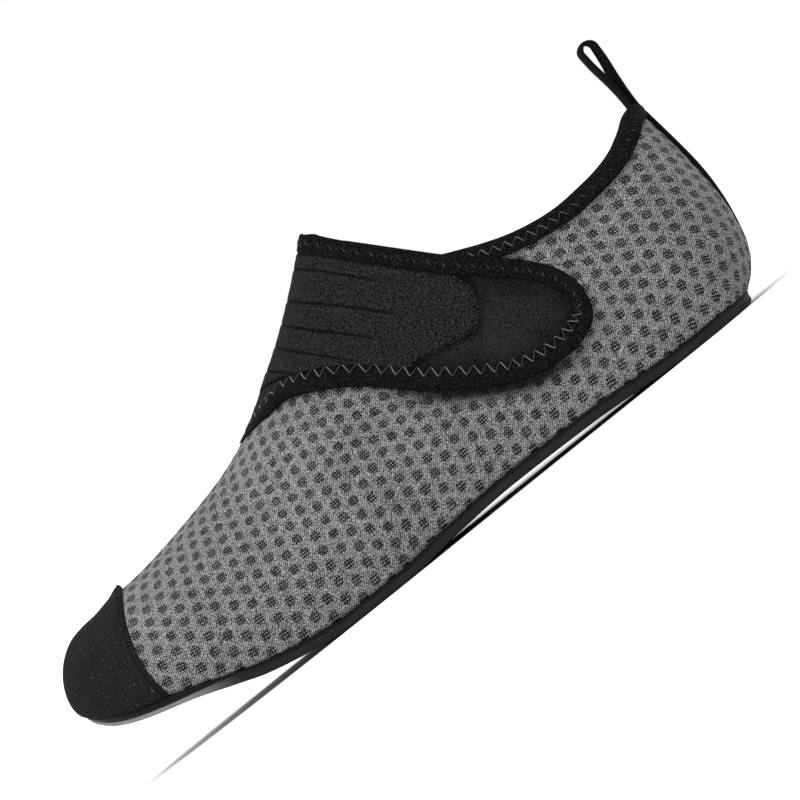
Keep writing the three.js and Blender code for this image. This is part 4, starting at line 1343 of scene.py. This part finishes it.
    def pleats(self, sizes, spaces, depths):
        """Soft tucks along the top edge's direction, fading towards the tab."""
        depth = sizes.pleat_depth
        relief = np.zeros((len(spaces), len(depths)))
        for pleat, (centre, far) in enumerate(PLEATS):
            off = depths[None, :] - centre - 0.5 * np.sin(spaces[:, None] / 15 + pleat * 1.7)
            fade = ease((spaces[:, None] + far) / 18) * ease((30 - spaces[:, None]) / 20)
            groove = -bell(off, 0.45)
            lip = 0.5 * bell(off - 1.4, 1.0) + 0.2 * bell(off + 2.0, 1.4)
            relief += depth * fade * (groove + lip) * mix(0.45, 1.0, ease(np.abs(spaces) / 14))[:, None]
        return relief

    def tab(self, context, width):
        depths = np.arange(0.5, 76, 0.7)
        spaces, places = top_slices(depths, (-122, -25), CLOTH_SPACE)
        points, normals, _ = FORM.sample(places)
        inside = self.inside_strap(points, width * TUCK)
        ahead = self.ahead_of_end(points)
        keep = (inside > 0) & (ahead < 5) & (points[..., 1] > 0)
        puff = 0.35 * ease(inside / 7)
        height = TAB_LIFT + puff + 0.12 * np.sin(spaces / 6)[:, None] * np.sin(depths / 5)
        weave = pairs(spaces, depths)
        shadow = 0.72 * (1 - ease(inside / 14)) + 0.4 * ease((ahead + 2.2) / 2.2)
        piece = sheet_piece(
            "strap_tab_cloth", points + normals * height[..., None], weave, normals,
            nap_finish(context.scene.shoe_colours), "strap_tab", 0.9, keep=keep, merge=1e-5,
            shadow=shadow)

    def execute(self, context):
        scene = context.scene
        sizes = in_mm(scene.shoe_sizes)
        width = sizes.tape_width
        depths = np.arange(1.0, 71.0, 0.55)
        spaces, places = top_slices(depths, (-108, 90), CLOTH_SPACE)
        self.panel(context, spaces, places, depths, width)
        self.tab(context, width)
        path = strap_path()
        along, across = path_frame(path, True)
        inwards = FORM.sample(shifted(path, across, 3.0))[0]
        if self.inside_strap(inwards, 0).mean() < 0:
            across = -across
        profile = [(inward * width / 6.3, height) for inward, height in FOLD_PROFILE]
        rings = band_rings(path, across, profile, flat=True)
        tape = made(tape_finish, scene.shoe_colours)
        tube_piece("strap_tape", rings, along, tape, "strap_binding", closed=True)
        mesh = bmesh.new()
        points = FORM.sample(path)[0]
        lower = ease(((points[:, [0, 2]] - STRAP_CORNER) @ TOP_DOWN - 5) / 12)
        zigzag(mesh, path, along, across, mix(width * 0.55, width - 0.15, lower),
               mix(2.0, sizes.stitch_width, lower), sizes.stitch_pitch,
               sizes.thread_width, (2.3, 2.0), True, flat=True, shown=mix(0.4, 1.0, lower))
        self.hem_stitches(mesh, sizes)
        skin_piece(mesh, "strap_seam", made(thread_finish, scene.shoe_colours), "", 1e-7)
        return {"FINISHED"}


class SHOE_OT_collar(bpy.types.Operator):
    """Folds the tape over the edge of the collar and sews it"""

    bl_idname = "shoe.collar"
    bl_label = "Collar binding"

    def execute(self, context):
        scene = context.scene
        sizes = in_mm(scene.shoe_sizes)
        width = sizes.tape_width
        columns = np.concatenate([np.linspace(0.262, 0, 200), 1 - np.linspace(0, 0.262, 200)[1:]])
        rows = throat_rows(columns, TAPE_LOWERED)
        path = np.column_stack([np.where(columns > 0.5, columns - 1, columns), rows])
        points = FORM.sample(path)[0]
        path = path[points[:, 0] < 95]
        along, across = path_frame(path, False)
        lower = FORM.sample(shifted(path, across, 2.0))[0]
        if (lower[:, 2] - FORM.sample(path)[0][:, 2]).mean() > 0:
            across = -across
        outside = [(width - 1.2, 0.3), (width - 1.0, 0.95), (width - 1.6, 1.25),
                   (3.4, 1.36), (1.6, 1.4), (0.2, 1.3)]
        inside = [(0.2, -2.8), (1.6, -2.95), (3.4, -2.9),
                  (width - 1.6, -2.8), (width - 1.0, -2.5), (width - 1.2, -1.8)]
        over = [(-0.75, 0.85), (-1.15, -0.1), (-1.2, -0.75), (-1.15, -1.4), (-0.75, -2.35)]
        under = [(2.4, -1.7), (0.2, -1.7), (0.0, -1.2), (0.0, -0.3), (0.2, 0.2), (2.4, 0.22)]
        rings = band_rings(path, across, outside + over + inside + under)
        tape = made(tape_finish, scene.shoe_colours)
        tube_piece("collar_tape", rings, along, tape, "collar_binding")
        front = mix(0.3, 0.85, ease((FORM.sample(path)[0][:, 0] - 25) / 35))
        mesh = bmesh.new()
        for heights in ((1.5, 1.45), (-3.0, -2.95)):
            zigzag(mesh, path, along, across, 2.1, 2.3, sizes.stitch_pitch * 0.85,
                   sizes.thread_width * 0.9, heights, False, shown=front)
        skin_piece(mesh, "collar_seam", made(thread_finish, scene.shoe_colours), "", 1e-7)
        return {"FINISHED"}


# ---------------------------------------------------------------- heel tape and pull loop

# Turn of the loop's webbing in degrees at shares of its length, the front leg first
TWIST = ((0, 14), (0.33, 12), (0.5, 11), (0.6, 15), (0.78, 22), (1, 20))

# Where the loop stands over the heel, and the length of its webbing
LOOP_FORWARD = 6.25
LOOP_UP = 76.7
LOOP_LENGTH = 75


class SHOE_OT_heel(bpy.types.Operator):
    """Sews the tape up the heel and folds the pull loop over its top"""

    bl_idname = "shoe.heel"
    bl_label = "Heel tape and loop"

    def tape(self, finish):
        heights = np.linspace(17, 71, 70)
        ring = [(-4.5, 0.32), (-4.5, 0.85), (-4.2, 1.12), (-2.2, 1.2), (0, 1.22), (2.2, 1.2), (4.2, 1.12),
                (4.5, 0.85), (4.5, 0.32), (2.2, 0.3), (0, 0.3), (-2.2, 0.3)]
        rows = []
        for across, height in ring:
            targets = np.column_stack([np.full(len(heights), across), heights])
            places = FORM.locate(targets, [1, 2], (-0.09, 0.09), (0.02, 0.8))
            thin = ease((heights - 16.5) / 34)
            rows.append(off_form(places, mix(-0.3, 0.3, thin) + (height - 0.3) * mix(0.1, 1.3, thin)))
        tube_piece("heel_webbing", np.stack(rows, axis=1), heights, finish, "heel_tape")

    def loop(self, context, finish):
        width = in_mm(context.scene.shoe_sizes).loop_width
        height, base, radius, sunk = 25.5, 0.62, 2.95, 6.8
        top = height - radius - 0.5
        leg = smooth_curve([(base, -sunk), (base, -2), (0.66, 1), (0.9, 5), (1.35, 9), (1.9, 12.5),
                            (2.6, 17.2), (radius, top)],
                           np.linspace(0, 1, 50))
        angles = np.linspace(0, math.pi, 26)[1:-1]
        crown = np.column_stack([radius * np.cos(angles), top + radius * np.sin(angles)])
        line = np.vstack([leg, crown, leg[::-1] * (-1, 1)])
        line = even_path(line, 150)
        ahead = unit(np.gradient(line, axis=0))
        out = np.column_stack([ahead[:, 1], -ahead[:, 0]])
        half, thick = width / 2, 0.5
        inner = [(-half, -0.25), (-half + 0.3, -thick), (-half / 2, -thick), (0, -thick), (half / 2, -thick),
                 (half - 0.3, -thick), (half, -0.25)]
        section = inner + [(across, -lift) for across, lift in inner[::-1]]
        twist = np.radians(np.interp(np.linspace(0, 1, len(line)), *zip(*TWIST)))
        rings = []
        for across, lift in section:
            bow = 0.35 * np.sin(np.linspace(0, math.pi, len(line))) * (across / half) ** 2
            flat = line + out * (lift - bow)[:, None]
            turned = flat[:, 0] * np.cos(twist) - across * np.sin(twist)
            aside = flat[:, 0] * np.sin(twist) + across * np.cos(twist)
            rings.append(np.column_stack([LOOP_FORWARD + turned, aside, LOOP_UP + flat[:, 1]]))
        along = np.linspace(0, 1, len(line)) * LOOP_LENGTH
        tube_piece("pull_loop_webbing", np.stack(rings, axis=1), along, finish, "pull_loop")

    def execute(self, context):
        finish = webbing_finish(context.scene.shoe_colours)
        self.tape(finish)
        self.loop(context, finish)
        return {"FINISHED"}


# ---------------------------------------------------------------- sole and insole

# How far the sole draws in under the heel
HEEL_INSET = 1.4

# Depth that colours the sole's faces as its side below the rim
BELOW_RIM = 8.0

# Length once round the rim, and the groove's pitch in the tread
RIM_LENGTH = 660
TREAD_PITCH = 9.5

# Section of the sole from inside its top to its underside: inset from the rim's face,
# place from the top (0) past the rim's foot (1) to the underside (2), and lift
SOLE_SECTION = (
    (3.9, 0, 0), (0.25, 0, 0), (0.03, 0, -0.12), (0, 0, -0.35), (0, 1, 0.3), (0.08, 1, 0.08), (0.5, 1, 0),
    (0.5, 1, -0.08), (0.42, 1.25, 0), (0.55, 1.55, 0), (1.0, 1.8, 0), (1.9, 1.94, 0), (3.4, 2, 0),
)


class SHOE_OT_sole(bpy.types.Operator):
    """Moulds the outsole with its rim and tread, and lays the insole"""

    bl_idname = "shoe.sole"
    bl_label = "Outsole and insole"

    def ring(self, inset, height):
        heel = HEEL_INSET * (1 - ease((FORM_EDGE[:, :1] - 12) / 24))
        points = FORM_EDGE - FORM_OUT * (inset + heel)
        points[:, 2] = height(points[:, 0])
        return points

    def strips(self, ring, across, height):
        """A grid across a closed ring from its outer to its inner side."""
        half = len(ring) // 2
        outer = ring[:half + 1]
        inner = ring[(-np.arange(half + 1)) % len(ring)]
        share = np.linspace(0, 1, across)[None, :, None]
        points = mix(outer[:, None], inner[:, None], share)
        points[..., 2] = np.where((share[..., 0] == 0) | (share[..., 0] == 1), points[..., 2], height(points))
        return points

    def tread(self, ring):
        edge = np.vstack([ring, ring[:1]])[::6, :2]

        def height(points):
            flat = points.reshape(-1, 3)
            inset = np.abs(left_distance(flat[:, :2], edge))
            phase = (flat[:, 0] + 7.0 * np.abs(flat[:, 1]) / BALL_WIDTH) % TREAD_PITCH
            off = np.minimum(phase, TREAD_PITCH - phase)
            groove = 1 - ease((off - 0.75) / 0.5)
            field = ease((inset - 4.6) / 0.6)
            along = flat[:, 0] / SHOE_LENGTH
            arch = ease((along - 0.23) / 0.01) * (1 - ease((along - 0.52) / 0.01))
            lifted = sole_bottom(flat[:, 0]) + 1.2 * groove * field * (1 - arch)
            return lifted.reshape(points.shape[:-1])

        return height

    def outsole(self, context):
        def level(place, lift):
            def height(length):
                top, bottom = sole_top(length), sole_bottom(length)
                under = top - mix(0.95, 2.45, ease((length - 208) / 40))
                return (mix(top, under, min(place, 1)) if place <= 1 else mix(under, bottom, place - 1)) + lift
            return height

        profile = [(inset - SOLE_RIM, level(place, lift)) for inset, place, lift in SOLE_SECTION]
        rings = np.stack([self.ring(inset, height) for inset, height in profile], axis=1)
        downs = sole_top(rings[..., 0]) - rings[..., 2]
        rings = np.concatenate([rings, rings[:1]], axis=0)
        downs = np.concatenate([downs, downs[:1]], axis=0)
        along = np.linspace(0, RIM_LENGTH, len(rings))[:, None]
        weave = np.stack(np.broadcast_arrays(along, downs), axis=2)
        mesh = bmesh.new()
        add_grid(mesh, rings, weave)
        for place, across, height in (
                (-1, 61, self.tread(rings[:-1, -1])), (0, 5, lambda points: sole_top(points[..., 0]))):
            face = self.strips(rings[:-1, place], across, height)
            add_grid(mesh, face, np.full(face.shape[:2] + (2,), BELOW_RIM))
        moulded_piece(mesh, "sole_rubber", rubber_finish(context.scene.shoe_colours), "outsole")

    def insole(self, context):
        base = lambda l: sole_top(l) + CLEARANCE
        profile = [(3.0, base), (2.2, base), (2.1, lambda l: base(l) + 0.4), (2.1, lambda l: base(l) + 2.3),
                   (2.35, lambda l: base(l) + 2.8), (3.0, lambda l: base(l) + 3.0)]
        rings = np.stack([self.ring(inset, height)[::2] for inset, height in profile], axis=1)
        closed = np.concatenate([rings, rings[:1]], axis=0)
        weave = closed[..., :2]
        mesh = bmesh.new()
        add_grid(mesh, closed, weave)
        for place, lift in ((0, 0.0), (-1, 3.0)):
            cover = self.strips(rings[:, place], 21, lambda points, lift=lift: base(points[..., 0]) + lift)
            add_grid(mesh, cover, cover[..., :2])
        finish = insole_finish(context.scene.shoe_colours)
        piece = moulded_piece(mesh, "insole_cloth", finish, "insole")

    def execute(self, context):
        self.outsole(context)
        self.insole(context)
        return {"FINISHED"}


def edge_line(count):
    """The foot line of the form with its outward directions, in even columns."""
    shares = np.arange(count) / count
    foot = smooth_curve(FORM.edge, shares, closed=True)
    return foot, Form.plan_normals(foot)


FORM_EDGE, FORM_OUT = edge_line(960)


# ---------------------------------------------------------------- the stage

# How far the photo tilts the shoe, and the camera's height angle, aim and distance
TILT = math.radians(38.66)
CAMERA_RISE = math.radians(0.5)
CAMERA_AIM = Vector((0.01115, 0, 0.0475))
CAMERA_DISTANCE = 3.202


class SHOE_OT_stage(bpy.types.Operator):
    """Sets the floor, the light and the rolled camera"""

    bl_idname = "shoe.stage"
    bl_label = "Stage"

    def floor(self, context):
        mesh = bmesh.new()
        bmesh.ops.create_circle(mesh, cap_ends=True, segments=96, radius=40.0)
        data = bpy.data.meshes.new("floor")
        mesh.to_mesh(data)
        mesh.free()
        pale = Finish("floor_paint", 0.9, 0.1)
        pale.shader.inputs["Base Color"].default_value = (*context.scene.shoe_colours.floor, 1)
        data.materials.append(pale.material)
        floor = bpy.data.objects.new("floor", data)
        context.scene.collection.objects.link(floor)

    def light(self, context):
        data = bpy.data.lights.new("key", "SUN")
        data.angle = math.radians(35)
        data.energy = 3.0
        lamp = bpy.data.objects.new("key", data)
        lamp.matrix_world = Vector((0.1, 0.5, -0.86)).to_track_quat("-Z", "Y").to_matrix().to_4x4()
        context.scene.collection.objects.link(lamp)

    def camera(self, context):
        data = bpy.data.cameras.new("camera")
        data.lens = 436
        data.sensor_width = 36
        data.clip_start = 0.1
        data.clip_end = 60
        camera = bpy.data.objects.new("camera", data)
        away = Vector((0, -math.cos(CAMERA_RISE), math.sin(CAMERA_RISE)))
        turn = (-away).to_track_quat("-Z", "Y").to_matrix().to_4x4()
        place = Matrix.Translation(CAMERA_AIM + away * CAMERA_DISTANCE)
        camera.matrix_world = place @ turn @ Matrix.Rotation(-TILT, 4, "Z")
        context.scene.collection.objects.link(camera)
        context.scene.camera = camera

    def execute(self, context):
        self.floor(context)
        world = bpy.data.worlds.new("studio")
        world.use_nodes = True
        background = world.node_tree.nodes["Background"]
        background.inputs["Color"].default_value = (1, 1, 1, 1)
        background.inputs["Strength"].default_value = 1.0
        context.scene.world = world
        self.light(context)
        context.scene.view_settings.view_transform = "Standard"
        self.camera(context)
        return {"FINISHED"}


# ---------------------------------------------------------------- the add-on

STEPS = ("upper", "toe_cap", "strap", "collar", "heel", "sole", "stage")


class SHOE_PT_panel(bpy.types.Panel):
    """Lists the steps that build the shoe"""

    bl_idname = "SHOE_PT_panel"
    bl_label = "Water shoe"
    bl_space_type = "VIEW_3D"
    bl_region_type = "UI"
    bl_category = "Shoe"

    def draw(self, context):
        for settings in (context.scene.shoe_sizes, context.scene.shoe_colours):
            for name in settings.bl_rna.properties.keys():
                if name not in ("rna_type", "name"):
                    self.layout.prop(settings, name)
        for step in STEPS:
            self.layout.operator("shoe." + step)


CLASSES = (
    ShoeSizes, ShoeColours, SHOE_OT_upper, SHOE_OT_toe_cap, SHOE_OT_strap, SHOE_OT_collar,
    SHOE_OT_heel, SHOE_OT_sole, SHOE_OT_stage, SHOE_PT_panel,
)


def register():
    for item in CLASSES:
        bpy.utils.register_class(item)
    bpy.types.Scene.shoe_sizes = bpy.props.PointerProperty(type=ShoeSizes)
    bpy.types.Scene.shoe_colours = bpy.props.PointerProperty(type=ShoeColours)


def unregister():
    del bpy.types.Scene.shoe_colours
    del bpy.types.Scene.shoe_sizes
    for item in reversed(CLASSES):
        bpy.utils.unregister_class(item)


def main():
    register()
    for step in STEPS:
        getattr(bpy.ops.shoe, step)()


if __name__ == "__main__":
    main()
